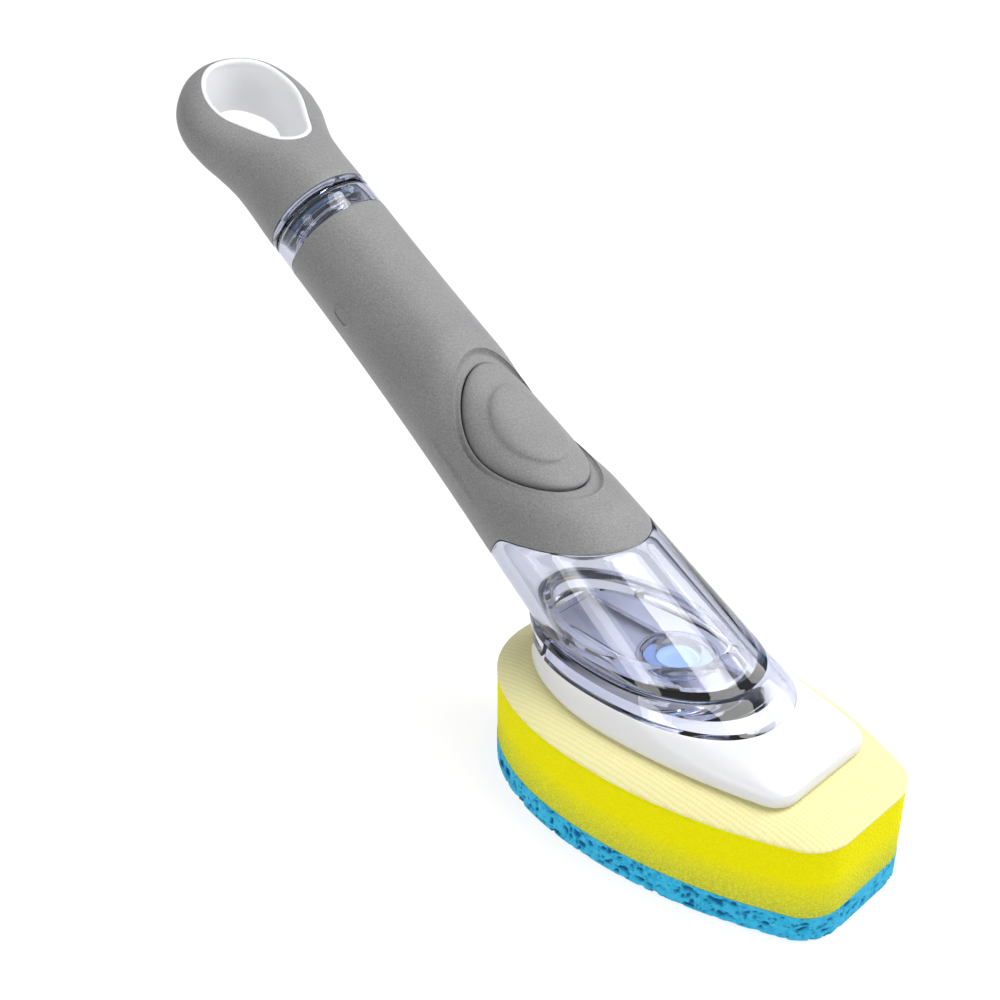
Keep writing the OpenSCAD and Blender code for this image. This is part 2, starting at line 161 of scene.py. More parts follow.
def turned(profile: Sequence[Pair], place: Matrix, steps: int = 96) -> Mesh:
    """Spins a profile about the local Z axis.

    Args:
        profile: Radius and height of each point, in millimetres.
        place: Where the local axes lie in the wand.
        steps: Faces round the piece.

    Returns:
        A mesh in metres with its faces outward.
    """
    mesh = bmesh.new()
    (radius, height), *rest = profile
    last = bmesh.ops.create_vert(mesh, co=(radius * MM, 0, height * MM))["vert"][0]
    for radius, height in rest:
        last = bmesh.ops.extrude_vert_indiv(mesh, verts=[last])["verts"][0]
        last.co = (radius * MM, 0, height * MM)
    bmesh.ops.spin(
        mesh, geom=mesh.verts[:] + mesh.edges[:], cent=(0, 0, 0), axis=(0, 0, 1),
        angle=TURN, steps=steps, use_merge=True,
    )
    bmesh.ops.transform(welded(mesh), matrix=place, verts=mesh.verts)
    return mesh


def rod(radius: float, low: float, high: float, place: Matrix, steps: int = 64) -> Mesh:
    """Plain round bar between two local heights, for cutting."""
    return turned([(0, low), (radius, low), (radius, high), (0, high)], place, steps)


def block(x: Pair, y: Pair, z: Pair, edge: float = 0) -> Mesh:
    """Makes a box with its edges rounded.

    Args:
        x: Its ends along the wand, in millimetres.
        y: Its ends across the wand.
        z: Its bottom and top.
        edge: Radius of its edges.

    Returns:
        A mesh in metres.
    """
    low, high = (Vector(corner) for corner in zip(x, y, z))
    mesh = bmesh.new()
    bmesh.ops.create_cube(mesh, size=1)
    bmesh.ops.scale(mesh, vec=(high - low) * MM, verts=mesh.verts)
    bmesh.ops.translate(mesh, vec=(high + low) / 2 * MM, verts=mesh.verts)
    if edge > 0:
        bmesh.ops.bevel(
            mesh, geom=mesh.edges[:], offset=edge * MM, affect="EDGES", segments=3,
            profile=0.5, material=-1,
        )
    return mesh


def stored(name: str, mesh: Mesh) -> bpy.types.Mesh:
    """Turns a working mesh into the scene's own kind.

    Args:
        name: The new mesh's name.
        mesh: The working mesh, freed here.

    Returns:
        The new mesh.
    """
    data = bpy.data.meshes.new(name)
    mesh.to_mesh(data)
    mesh.free()
    return data


def placed(name: str, data: bpy.types.ID) -> bpy.types.Object:
    """Puts a mesh, light or camera into the scene.

    Args:
        name: The new object's name.
        data: What the object shows.

    Returns:
        The new object.
    """
    thing = bpy.data.objects.new(name, data)
    bpy.context.scene.collection.objects.link(thing)
    return thing


def carved(body: Mesh, tools: Sequence[Mesh], work: Work = Work.CUT) -> Mesh:
    """Cuts tools out of a mesh, or joins them to it.

    Args:
        body: The mesh that is worked on, freed here.
        tools: Closed meshes, used one after another and then freed.
        work: What each tool does.

    Returns:
        The worked mesh.
    """
    for tool in tools:
        pair = [placed(name, stored(name, mesh)) for name, mesh in (("work", body), ("tool", tool))]
        cut = pair[0].modifiers.new("cut", "BOOLEAN")
        cut.operation, cut.solver, cut.object = work.value, "EXACT", pair[1]
        ready = pair[0].evaluated_get(bpy.context.evaluated_depsgraph_get())
        body = bmesh.new()
        body.from_mesh(ready.to_mesh())
        ready.to_mesh_clear()
        for thing in pair:
            data = thing.data
            bpy.data.objects.remove(thing)
            bpy.data.meshes.remove(data)
    return body


def joined(meshes: Sequence[Mesh]) -> Mesh:
    """Puts several meshes side by side in one.

    Args:
        meshes: The meshes, freed here.

    Returns:
        The whole mesh.
    """
    whole = bmesh.new()
    for mesh in meshes:
        data = stored("side", mesh)
        whole.from_mesh(data)
        bpy.data.meshes.remove(data)
    return whole


def smooth_step(low: float, high: float, value: float) -> float:
    """Rises from 0 to 1 between two values with no corner."""
    t = min(1.0, max(0.0, (value - low) / (high - low)))
    return t * t * (3 - 2 * t)


def signed_power(value: float, power: float) -> float:
    """Raises a number's size to a power and keeps its sign."""
    return math.copysign(abs(value) ** power, value)


def through(points: Sequence[Pair], value: float) -> float:
    """Reads a smooth curve through points at a value.

    Args:
        points: Place and height of each point, in rising order of place.
        value: Where the curve is read.

    Returns:
        The curve's height, with the end heights held beyond the ends.
    """
    if value <= points[0][0]:
        return points[0][1]
    if value >= points[-1][0]:
        return points[-1][1]
    k = next(i for i in range(len(points) - 1) if value <= points[i + 1][0])

    def slope(i: int) -> float:
        """Steepness of the curve at one of its points."""
        a, b = points[max(i - 1, 0)], points[min(i + 1, len(points) - 1)]
        return (b[1] - a[1]) / (b[0] - a[0])

    (x0, y0), (x1, y1) = points[k], points[k + 1]
    run = x1 - x0
    t = (value - x0) / run
    return (
        (2 * t**3 - 3 * t**2 + 1) * y0 + (t**3 - 2 * t**2 + t) * run * slope(k)
        + (-2 * t**3 + 3 * t**2) * y1 + (t**3 - t**2) * run * slope(k + 1)
    )


def piece(
    name: str, mesh: Mesh, finish: "Finish", body: Body, stands_for: str,
    crease_deg: float,
) -> None:
    """Turns a finished mesh into a dressed piece of the wand.

    Args:
        name: The piece's name.
        mesh: Its shape, in metres, freed here.
        finish: What it is made of.
        body: The moving body that carries it.
        stands_for: The CAD node that it is shown in place of.
        crease_deg: Edges bent by more than this stay crisp.
    """
    data = stored(name, mesh)
    data.shade_smooth()
    data.set_sharp_from_angle(angle=math.radians(crease_deg))
    thing = placed(name, data)
    data.materials.append(finish.material())
    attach(thing, body.value)
    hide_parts(stands_for)
    log.info("%s: %d faces, rides on %s", name, len(data.polygons), body.value)


# Outlines and the handle's skin


@dataclass(frozen=True)
class Egg:
    """Plan of an egg: two half ovals that share their widest line."""

    heel: float
    toe: float
    wide: float
    half_w: float
    power: float

    def at(self, turn: float, inset: float = 0.0, z: float = 0.0) -> Vector:
        """Finds a point of the outline.

        Args:
            turn: Angle in radians.
            inset: Distance that the outline is drawn in, in millimetres.
            z: Height of the point.

        Returns:
            The point, in millimetres.
        """
        c, s = math.cos(turn), math.sin(turn)
        end = self.toe - inset if c > 0 else self.heel + inset
        return Vector((
            self.wide + abs(end - self.wide) * signed_power(c, 2 / self.power),
            (self.half_w - inset) * signed_power(s, 2 / self.power),
            z,
        ))


@dataclass(frozen=True)
class Boat:
    """Plan of a boat: round heel, curved sides and a flat toe with rounded corners."""

    heel: float
    toe: float
    wide: float
    half_w: float
    half_toe: float
    power: float
    corner: float
    middle: float = 0.0
    toe_share: float = 0.8

    @lru_cache(maxsize=None)
    def half(self, inset: float) -> tuple[Pair, ...]:
        """Lays out one half of the outline.

        Args:
            inset: Distance that the outline is drawn in; the toe narrows by a share of it.

        Returns:
            Points from heel to toe.
        """
        heel, toe = self.heel + inset, self.toe - inset
        half_w, half_toe = self.half_w - inset, self.half_toe - self.toe_share * inset
        rise, run = half_w - half_toe, toe - self.wide
        lean = math.atan(2 * rise / run)
        back = self.corner * math.tan((math.pi / 2 - lean) / 2)
        side_end = toe - back * math.cos(lean)
        at_heel, at_side, at_corner = BOAT_STEPS
        points = []
        for k in range(at_heel + 1):
            a = math.pi / 2 * k / at_heel
            points.append((
                self.wide - (self.wide - heel) * abs(math.cos(a)) ** (2 / self.power),
                half_w * math.sin(a) ** (2 / self.power),
            ))
        for k in range(1, at_side + 1):
            x = self.wide + (side_end - self.wide) * k / at_side
            points.append((x, half_w - rise * ((x - self.wide) / run) ** 2))
        for k in range(at_corner - 1, -1, -1):
            a = (math.pi / 2 - lean) * k / at_corner
            points.append((
                toe - self.corner + self.corner * math.cos(a),
                half_toe - back + self.corner * math.sin(a),
            ))
        points.append((toe, 0.0))
        return tuple(points)

    @lru_cache(maxsize=None)
    def ray(self, turn: float, inset: float) -> Pair:
        """Finds where a ray from the middle crosses the outline.

        Args:
            turn: Angle of the ray in radians.
            inset: Distance that the outline is drawn in.

        Returns:
            The crossing, in plan.
        """
        c, s = math.cos(turn), math.sin(turn)
        side = 1 if s >= 0 else -1
        points = self.half(inset)
        for (x0, y0), (x1, y1) in zip(points, points[1:]):
            before = (x0 - self.middle) * abs(s) - y0 * c
            after = (x1 - self.middle) * abs(s) - y1 * c
            if before <= 0 <= after or after <= 0 <= before:
                t = 0 if before == after else before / (before - after)
                x, y = x0 + (x1 - x0) * t, y0 + (y1 - y0) * t
                if (x - self.middle) * c + y * abs(s) > 0:
                    return x, side * y
        return points[-1][0], 0.0

    def at(self, turn: float, inset: float = 0.0, z: float = 0.0) -> Vector:
        """Point of the outline on a ray, at a height in millimetres."""
        return Vector((*self.ray(turn, inset), z))


SPONGE = Boat(-50, 50, -4.3, 29.8, 16, 2.25, 11)
PLATE = Boat(-42.92, 37.68, -6.6, 22.3, 15.5, 2, 6, middle=-3)
SKIRT = Egg(-40.92, 24.92, -10, 21.3, 2.3)
RIM = Egg(-44.92, 16.92, -10, 18.9, 2.15)
RIM_Z = 42.0
OUTLET_X = -4.0
OUTLET_R = 4.5
OUTLET = Matrix.Translation((OUTLET_X * MM, 0, 0))


@dataclass(frozen=True)
class HandleLine:
    """The handle's leaning axis and the skin round it."""

    foot: Triple = (-14.0, 0.0, 41.2)
    lean_deg: float = 33.8
    bell_s: float = 28.3
    back_edge_s: float = 35.8
    pad_s: float = 52.2
    grip_top_s: float = 120.8
    low_r: float = 17.2
    top_r: float = 13.8
    tongue: float = 21.0
    tongue_soft: float = 2.0
    ease_q: float = 0.16

    def matrix(self, s: float = 0.0) -> Matrix:
        """Axes at a station in metres: local Z up the handle, local X to the thumb side."""
        turn = Matrix.Rotation(math.radians(self.lean_deg - 90), 4, "Y")
        return Matrix.Translation(self.at(s, 0, 0) * MM) @ turn

    def at(self, s: float, x: float, y: float) -> Vector:
        """Finds a point round the axis.

        Args:
            s: Station.
            x: Reach from the axis to the thumb side.
            y: Reach across.

        Returns:
            The point in the wand's frame, in millimetres.
        """
        lean = math.radians(self.lean_deg)
        up = Vector((-math.cos(lean), 0, math.sin(lean)))
        out = Vector((math.sin(lean), 0, math.cos(lean)))
        return Vector(self.foot) + up * s + out * x + Vector((0, y, 0))

    def local(self, point: Vector) -> Triple:
        """Reads a point's place round the axis.

        Args:
            point: The point in the wand's frame, in millimetres.

        Returns:
            Its station, reach to the thumb side and reach across.
        """
        lean = math.radians(self.lean_deg)
        away = point - Vector(self.foot)
        return (
            -math.cos(lean) * away.x + math.sin(lean) * away.z,
            math.sin(lean) * away.x + math.cos(lean) * away.z,
            away.y,
        )

    def radius(self, s: float) -> float:
        """Outside radius at a station."""
        rest = max(self.grip_top_s - s, 0) / (self.grip_top_s - self.bell_s)
        return self.top_r + (self.low_r - self.top_r) * rest**2

    def ring(self, turn: float, s: float, radius: float) -> Vector:
        """Point on a circle round the axis."""
        return self.at(s, radius * math.cos(turn), radius * math.sin(turn))

    def straight_skin(self, turn: float, q: float, inset: float) -> Vector:
        """Finds a point of the skin before its line is eased.

        Args:
            turn: Angle in radians.
            q: Way up the skin: 0 at the rim, 1 at the bell's top and 2 at the sleeve's top.
            inset: Depth below the skin.

        Returns:
            The point, in millimetres.
        """
        if q <= 1:
            top = self.ring(turn, self.bell_s, self.low_r - inset)
            return RIM.at(turn, inset, RIM_Z).lerp(top, q)
        s = self.bell_s + (q - 1) * (self.grip_top_s - self.bell_s)
        return self.ring(turn, s, self.radius(s) - inset)

    def skin(self, turn: float, q: float, inset: float = 0.0) -> Vector:
        """Finds a point of the skin, with the line between bell and tube eased.

        Args:
            turn: Angle in radians.
            q: Way up the skin: 0 at the rim, 1 at the bell's top and 2 at the sleeve's top.
            inset: Depth below the skin.

        Returns:
            The point, in millimetres.
        """
        ease = min(self.ease_q, q, max(0.0, 2 - q))
        if abs(q - 1) >= self.ease_q or ease <= 0:
            return self.straight_skin(turn, q, inset)
        total = Vector((0, 0, 0))
        for k, weight in ((-2, 1), (-1, 2), (0, 3), (1, 2), (2, 1)):
            total += self.straight_skin(turn, q + ease * k / 2, inset) * (weight / 9)
        return total

    @lru_cache(maxsize=None)
    def grip_edge(self, turn: float) -> float:
        """Finds where the sleeve's lower edge crosses the skin.

        Args:
            turn: Angle in radians.

        Returns:
            The way up the skin, q.
        """
        slope = self.tongue / self.low_r
        low, high = 0.0, 1.6
        for _ in range(30):
            middle = (low + high) / 2
            s, x, _y = self.local(self.skin(turn, middle))
            eased = (x + math.sqrt(x * x + self.tongue_soft)) / 2
            if s + slope * eased < self.back_edge_s:
                low = middle
            else:
                high = middle
        return (low + high) / 2

    def past_edge(self, turn: float, more: float, inset: float) -> Vector:
        """Point of the skin a little way past the sleeve's lower edge."""
        return self.skin(turn, self.grip_edge(turn) + more, inset)


LINE = HandleLine()


# Finishes


class Nodes:
    """A material's node tree, with short calls to add and join nodes."""

    def __init__(self, name: str) -> None:
        """Starts a material with a lone Principled shader.

        Args:
            name: The material's name.
        """
        self.material = bpy.data.materials.new(name)
        self.material.use_nodes = True
        self.tree = self.material.node_tree
        self.shader = self.tree.nodes["Principled BSDF"]
        self.output = self.tree.nodes["Material Output"]
        self.place = self.tree.nodes.new("ShaderNodeTexCoord").outputs["Object"]

    def feed(self, socket: Socket, value: object) -> None:
        """Joins an input to another node's output, or sets its number or colour.

        Args:
            socket: The input.
            value: An output, a number, or a colour of three numbers.
        """
        if isinstance(value, Socket):
            self.tree.links.new(value, socket)
        else:
            socket.default_value = (*value, 1) if isinstance(value, tuple) else value

    def add(self, kind: str, **values: object) -> bpy.types.Node:
        """Adds a node and sets its properties, or feeds its inputs where the name is one.

        Args:
            kind: The node's type.
            values: Property or input names, with underscores for spaces, and what they get.

        Returns:
            The node.
        """
        node = self.tree.nodes.new(kind)
        for key, value in values.items():
            if hasattr(node, key):
                setattr(node, key, value)
            else:
                self.feed(node.inputs[key.replace("_", " ")], value)
        return node

    def set(self, **values: object) -> None:
        """Feeds the shader's own sockets."""
        for key, value in values.items():
            self.feed(self.shader.inputs[key.replace("_", " ")], value)

    def noise(self, scale: float, detail: float = 2, rough: float = 0.5) -> Socket:
        """Cloudy noise at a number of waves to the metre."""
        node = self.add(
            "ShaderNodeTexNoise", Vector=self.place, Scale=scale, Detail=detail, Roughness=rough,
        )
        return node.outputs["Fac"]

    def cells(self, scale: float) -> Socket:
        """Distance to the middle of scattered cells, at a number of cells to the metre."""
        node = self.add("ShaderNodeTexVoronoi", Vector=self.place, Scale=scale, Randomness=1.0)
        return node.outputs["Distance"]

    def ribs(self, axis: str, pitch: float, bend: float) -> Socket:
        """Wavy ribs across an axis, by their pitch in millimetres."""
        node = self.add(
            "ShaderNodeTexWave", Vector=self.place, bands_direction=axis, Scale=314 / pitch,
            Distortion=bend, Detail=2.0,
        )
        return node.outputs["Fac"]

    def ramp(self, value: Socket, stops: Sequence[tuple[float, Triple]]) -> Socket:
        """Turns a value into a colour.

        Args:
            value: The value.
            stops: Place and linear colour of each stop.

        Returns:
            The colour.
        """
        node = self.add("ShaderNodeValToRGB", Fac=value)
        bar = node.color_ramp.elements
        while len(bar) < len(stops):
            bar.new(0.5)
        for element, (place, colour) in zip(bar, stops):
            element.position = place
            element.color = (*colour, 1)
        return node.outputs["Color"]

    def between(self, value: Socket, dark: Triple, light: Triple) -> Socket:
        """Colour from dark to light over the middle of a noise's range."""
        return self.ramp(value, [(0.3, dark), (0.7, light)])

    def levels(
        self, value: Socket, low: float, high: float, bottom: float = 0, top: float = 1,
    ) -> Socket:
        """Stretches a value's range and holds it between two levels.

        Args:
            value: The value.
            low: What becomes the bottom level.
            high: What becomes the top level.
            bottom: The bottom level.
            top: The top level.

        Returns:
            The stretched value.
        """
        node = self.add(
            "ShaderNodeMapRange", clamp=True, Value=value,
            From_Min=low, From_Max=high, To_Min=bottom, To_Max=top,
        )
        return node.outputs["Result"]

    def maths(self, how: str, a: object, b: object) -> Socket:
        """Joins two values, or a value and a number, by arithmetic.

        Args:
            how: Blender's name of the operation.
            a: The first value.
            b: The second value.

        Returns:
            The outcome.
        """
        node = self.add("ShaderNodeMath", operation=how)
        self.feed(node.inputs[0], a)
        self.feed(node.inputs[1], b)
        return node.outputs[0]

    def mixed(self, share: object, a: object, b: object, how: str = "MIX") -> Socket:
        """Blends two colours.

        Args:
            share: How far from the first to the second.
            a: The first colour.
            b: The second colour.
            how: Blender's name of the blend.

        Returns:
            The blended colour.
        """
        node = self.add("ShaderNodeMix", data_type="RGBA", blend_type=how)
        for k, value in ((0, share), (6, a), (7, b)):
            self.feed(node.inputs[k], value)
        return node.outputs[2]

    def bump(self, height: Socket, distance: float, strength: float) -> Socket:
        """Normal of a relief, by metres at a height of 1 and the share that is kept."""
        node = self.add("ShaderNodeBump", Height=height, Distance=distance, Strength=strength)
        return node.outputs["Normal"]


class Finish(ABC):
    """A material that is made once and shared."""

    _made: dict[str, bpy.types.Material] = {}

    def material(self) -> bpy.types.Material:
        """Makes the finish's material, or finds it again.

        Returns:
            The material.
        """
        name = type(self).__name__
        if name not in Finish._made:
            nodes = Nodes(name)
            self.dress(nodes)
            Finish._made[name] = nodes.material
        return Finish._made[name]

    @abstractmethod
    def dress(self, nodes: Nodes) -> None:
        """Lays the finish on a fresh node tree."""


@dataclass(frozen=True)
class ClearPlastic(Finish):
    """Water-clear moulded plastic with a lavender cast in its edges, and painted dark shade along
    its outline.
    """

    tint: Triple = (0.87, 0.875, 0.91)
    # The edge tint is partly the deeper colour of a longer path through the plastic and partly
    # painted shade; the rim tint is a painted navy outline shade.
    grazing_tint_and_painted_shade: Triple = (0.42, 0.46, 0.62)
    painted_rim_shade: Triple = (0.05, 0.09, 0.18)
    lamp_tint: Triple = (0.985, 0.986, 0.995)
    depth_tint: Triple = (0.36, 0.42, 0.60)
    density: float = 80.0

    def dress(self, nodes: Nodes) -> None:
        """Glass that lets lamps through, its colour darkened by painted shade at grazing angles,
        with a thin absorption and a ripple.

        Args:
            nodes: A fresh node tree.
        """
        ripple = nodes.noise(60, 1, 0.4)
        edge = nodes.add("ShaderNodeLayerWeight", Blend=0.5).outputs["Facing"]
        # Colour by facing: clear in the middle, then darker at grazing angles (partly the longer
        # path, partly painted shade), then painted navy outline shade at the very rim.
        tints_and_painted_edge_shade = [(0.0, self.tint), (0.5, self.tint), (0.82, self.grazing_tint_and_painted_shade), (1.0, self.painted_rim_shade)]
        nodes.set(
            Base_Color=nodes.ramp(edge, tints_and_painted_edge_shade), Roughness=0.02, IOR=1.49,
            Transmission_Weight=1.0, Normal=nodes.bump(ripple, 0.0006, 0.12),
        )
        lamps = nodes.add("ShaderNodeLightPath").outputs["Is Shadow Ray"]
        clear = nodes.add("ShaderNodeBsdfTransparent", Color=self.lamp_tint)
        whole = nodes.add("ShaderNodeMixShader", Fac=lamps)
        haze = nodes.add("ShaderNodeVolumeAbsorption", Density=self.density, Color=self.depth_tint)
        nodes.feed(whole.inputs[1], nodes.shader.outputs[0])
        nodes.feed(whole.inputs[2], clear.outputs[0])
        nodes.feed(nodes.output.inputs["Surface"], whole.outputs[0])
        nodes.feed(nodes.output.inputs["Volume"], haze.outputs[0])


@dataclass(frozen=True)
class FootPlastic(ClearPlastic):
    """The same plastic in the foot's thicker moulding, deeper in colour."""

    tint: Triple = (0.77, 0.78, 0.845)
    # Painted edge shade, deeper than the reservoir's, partly the longer path through the thicker
    # moulding.
    grazing_tint_and_painted_shade: Triple = (0.30, 0.34, 0.50)
    depth_tint: Triple = (0.34, 0.37, 0.58)
    density: float = 16.0


@dataclass(frozen=True)
class SoftGrip(Finish):
    """Grey moulded rubber with a fine speckled tooth."""

    base: float = 0.255
    spread: float = 0.07
    cool: float = 1.01
    wash: tuple[Triple, Triple] = ((0.93, 0.93, 0.935), (1.04, 1.04, 1.04))

    def dress(self, nodes: Nodes) -> None:
        """Speckle in the colour and tooth in the relief.

        Args:
            nodes: A fresh node tree.
        """
        speck = nodes.noise(2600, 3, 0.7)
        cloud = nodes.noise(60, 3, 0.55)
        dark, light = self.base - self.spread, self.base + self.spread
        grain = nodes.between(
            speck, (dark, dark, dark * self.cool), (light, light, light * self.cool),
        )
        nodes.set(
            Base_Color=nodes.mixed(1.0, grain, nodes.between(cloud, *self.wash), "MULTIPLY"),
            Roughness=nodes.levels(speck, 0.3, 0.7, 0.5, 0.62),
            Specular_IOR_Level=0.42, Sheen_Weight=0.12, Sheen_Roughness=0.5,
            Normal=nodes.bump(speck, 0.00012, 0.35),
        )


@dataclass(frozen=True)
class MouldedWhite(Finish):
    """Satin white plastic that glows a little inside."""

    shades: tuple[Triple, Triple] = ((0.745, 0.75, 0.77), (0.785, 0.788, 0.80))

    def dress(self, nodes: Nodes) -> None:
        """Near-white with a trace of flow and tooth.

        Args:
            nodes: A fresh node tree.
        """
        flow = nodes.noise(45)
        tooth = nodes.noise(1500)
        nodes.set(
            Base_Color=nodes.between(flow, *self.shades),
            Roughness=nodes.levels(tooth, 0.3, 0.7, 0.3, 0.38),
            Subsurface_Weight=0.15, Subsurface_Scale=0.002, Specular_IOR_Level=0.5,
            Normal=nodes.bump(tooth, 0.00005, 0.2),
        )


@dataclass(frozen=True)
class BlueSilicone(Finish):
    """Soft sky-blue silicone of the valve."""

    shades: tuple[Triple, Triple] = ((0.30, 0.45, 0.74), (0.36, 0.51, 0.80))

    def dress(self, nodes: Nodes) -> None:
        """Even blue with a cloudy depth."""
        blue = nodes.between(nodes.noise(300), *self.shades)
        nodes.set(Base_Color=blue, Roughness=0.4, Subsurface_Weight=0.2, Subsurface_Scale=0.002)


@dataclass(frozen=True)
class DarkSeal(Finish):
    """Navy sealing rubber."""

    shades: tuple[Triple, Triple] = ((0.028, 0.068, 0.125), (0.042, 0.095, 0.165))

    def dress(self, nodes: Nodes) -> None:
        """Deep navy with a faint bloom."""
        nodes.set(Base_Color=nodes.between(nodes.noise(400), *self.shades), Roughness=0.35)


@dataclass(frozen=True)
class RibbedCloth(Finish):
    """Cream backing cloth with fine pressed ribs, with painted shade in the rib valleys and painted
    light on the ridges.
    """

    rib: float = 1.15
    cross: float = 0.8
    # The rib colours follow the relief: painted shade in the valleys, cream on the sides and
    # painted light on the ridges.
    painted_valley_shade: Triple = (0.775, 0.685, 0.26)
    side: Triple = (0.845, 0.765, 0.335)
    ridge: Triple = (0.875, 0.825, 0.43)

    def dress(self, nodes: Nodes) -> None:
        """Ribs along the sponge crossed by finer ones, over a fuzzy weave, coloured by their relief
        as painted shade and light.

        Args:
            nodes: A fresh node tree.
        """
        ribs = nodes.levels(nodes.ribs("Y", self.rib, 1.6), 0, 1, 0.6, 1)
        cross = nodes.levels(nodes.ribs("X", self.cross, 2.4), 0, 1, 0.75, 1)
        fuzz = nodes.maths("MULTIPLY", nodes.noise(3200, 3, 0.7), 0.5)
        relief = nodes.maths("ADD", nodes.maths("MULTIPLY", ribs, cross), fuzz)
        # Painted shade in the valleys and painted light on the ridges, from the same relief that
        # bumps the cloth.
        shades = [(0.35, self.painted_valley_shade), (0.8, self.side), (1.0, self.ridge)]
        nodes.set(
            Base_Color=nodes.ramp(relief, shades),
            Roughness=0.9, Sheen_Weight=0.3, Sheen_Roughness=0.6,
            Subsurface_Weight=0.1, Subsurface_Scale=0.001,
            Normal=nodes.bump(relief, 0.0003, 0.6),
        )


@dataclass(frozen=True)
class YellowFoam(Finish):
    """Bright yellow foam with fine open cells, greener where it meets the scrubbing layer."""

    low: float = 0.007
    blend: float = 0.010
    bright: tuple[Triple, Triple] = ((0.84, 0.78, 0.0), (0.90, 0.84, 0.0))
    glued: tuple[Triple, Triple] = ((0.40, 0.46, 0.07), (0.76, 0.75, 0.04))

    def dress(self, nodes: Nodes) -> None:
        """Cell relief, with dark cells that thicken towards the glue line.

        Args:
            nodes: A fresh node tree.
        """
        fine = nodes.noise(2400, 4, 0.75)
        height = nodes.add("ShaderNodeSeparateXYZ", Vector=nodes.place).outputs["Z"]
        depth = nodes.levels(height, self.low, self.low + self.blend, 1, 0)
        speck = nodes.levels(fine, 0.42, 0.62)
        bright, glued = nodes.mixed(speck, *self.bright), nodes.mixed(speck, *self.glued)
        relief = nodes.maths("ADD", nodes.levels(nodes.cells(1500), 0.0, 0.6), fine)
        nodes.set(
            Base_Color=nodes.mixed(nodes.maths("MULTIPLY", depth, 0.9), bright, glued),
            Roughness=0.85, Subsurface_Weight=0.12, Subsurface_Scale=0.002,
            Specular_IOR_Level=0.08, Normal=nodes.bump(relief, 0.0003, 0.5),
        )


@dataclass(frozen=True)
class ScrubCellulose(Finish):
    """Sky-blue cellulose, pale on the skin, with painted shade darkening its long pores."""

    skin: tuple[Triple, Triple] = ((0.008, 0.36, 0.63), (0.055, 0.55, 0.84))
    # Painted shade laid in the pores and pinhole dots, darkest where the pores are deepest.
    hole: Triple = (0.0, 0.13, 0.32)

    def dress(self, nodes: Nodes) -> None:
        """Painted shade in the open pores, by their depth read from the mesh, and in pinhole dots
        over a cloudy skin.

        Args:
            nodes: A fresh node tree.
        """
        depth = nodes.add("ShaderNodeAttribute", attribute_name="pore").outputs["Fac"]
        pins = nodes.levels(nodes.cells(1100), 0.34, 0.14)
        cloud = nodes.noise(260, 4, 0.6)
        dots = nodes.maths("MULTIPLY", pins, nodes.levels(cloud, 0.45, 0.6))
        painted_pinhole_shade = nodes.maths("MULTIPLY", dots, 0.7)
        # Pore depth and pinhole dots both turn into painted shade.
        pore_and_pinhole_shade_share = nodes.maths("MAXIMUM", nodes.levels(depth, 0.04, 0.5), painted_pinhole_shade)
        skin = nodes.between(nodes.noise(700, 4, 0.7), *self.skin)
        nodes.set(
            Base_Color=nodes.mixed(pore_and_pinhole_shade_share, skin, self.hole), Roughness=0.7,
            Subsurface_Weight=0.1, Subsurface_Scale=0.002, Specular_IOR_Level=0.2,
            Normal=nodes.bump(nodes.maths("SUBTRACT", cloud, dots), 0.0006, 0.8),
        )


@dataclass(frozen=True)
class PaleFloor(Finish):
    """Plain white studio floor, lit a little from below."""

    grey: Triple = (0.25, 0.25, 0.25)
    glow: float = 0.82

    def dress(self, nodes: Nodes) -> None:
        """Matt pale grey with an even white glow."""
        nodes.set(Base_Color=self.grey, Roughness=0.9, Specular_IOR_Level=0.1)
        nodes.set(Emission_Color=(1, 1, 1), Emission_Strength=self.glow)


# The refill


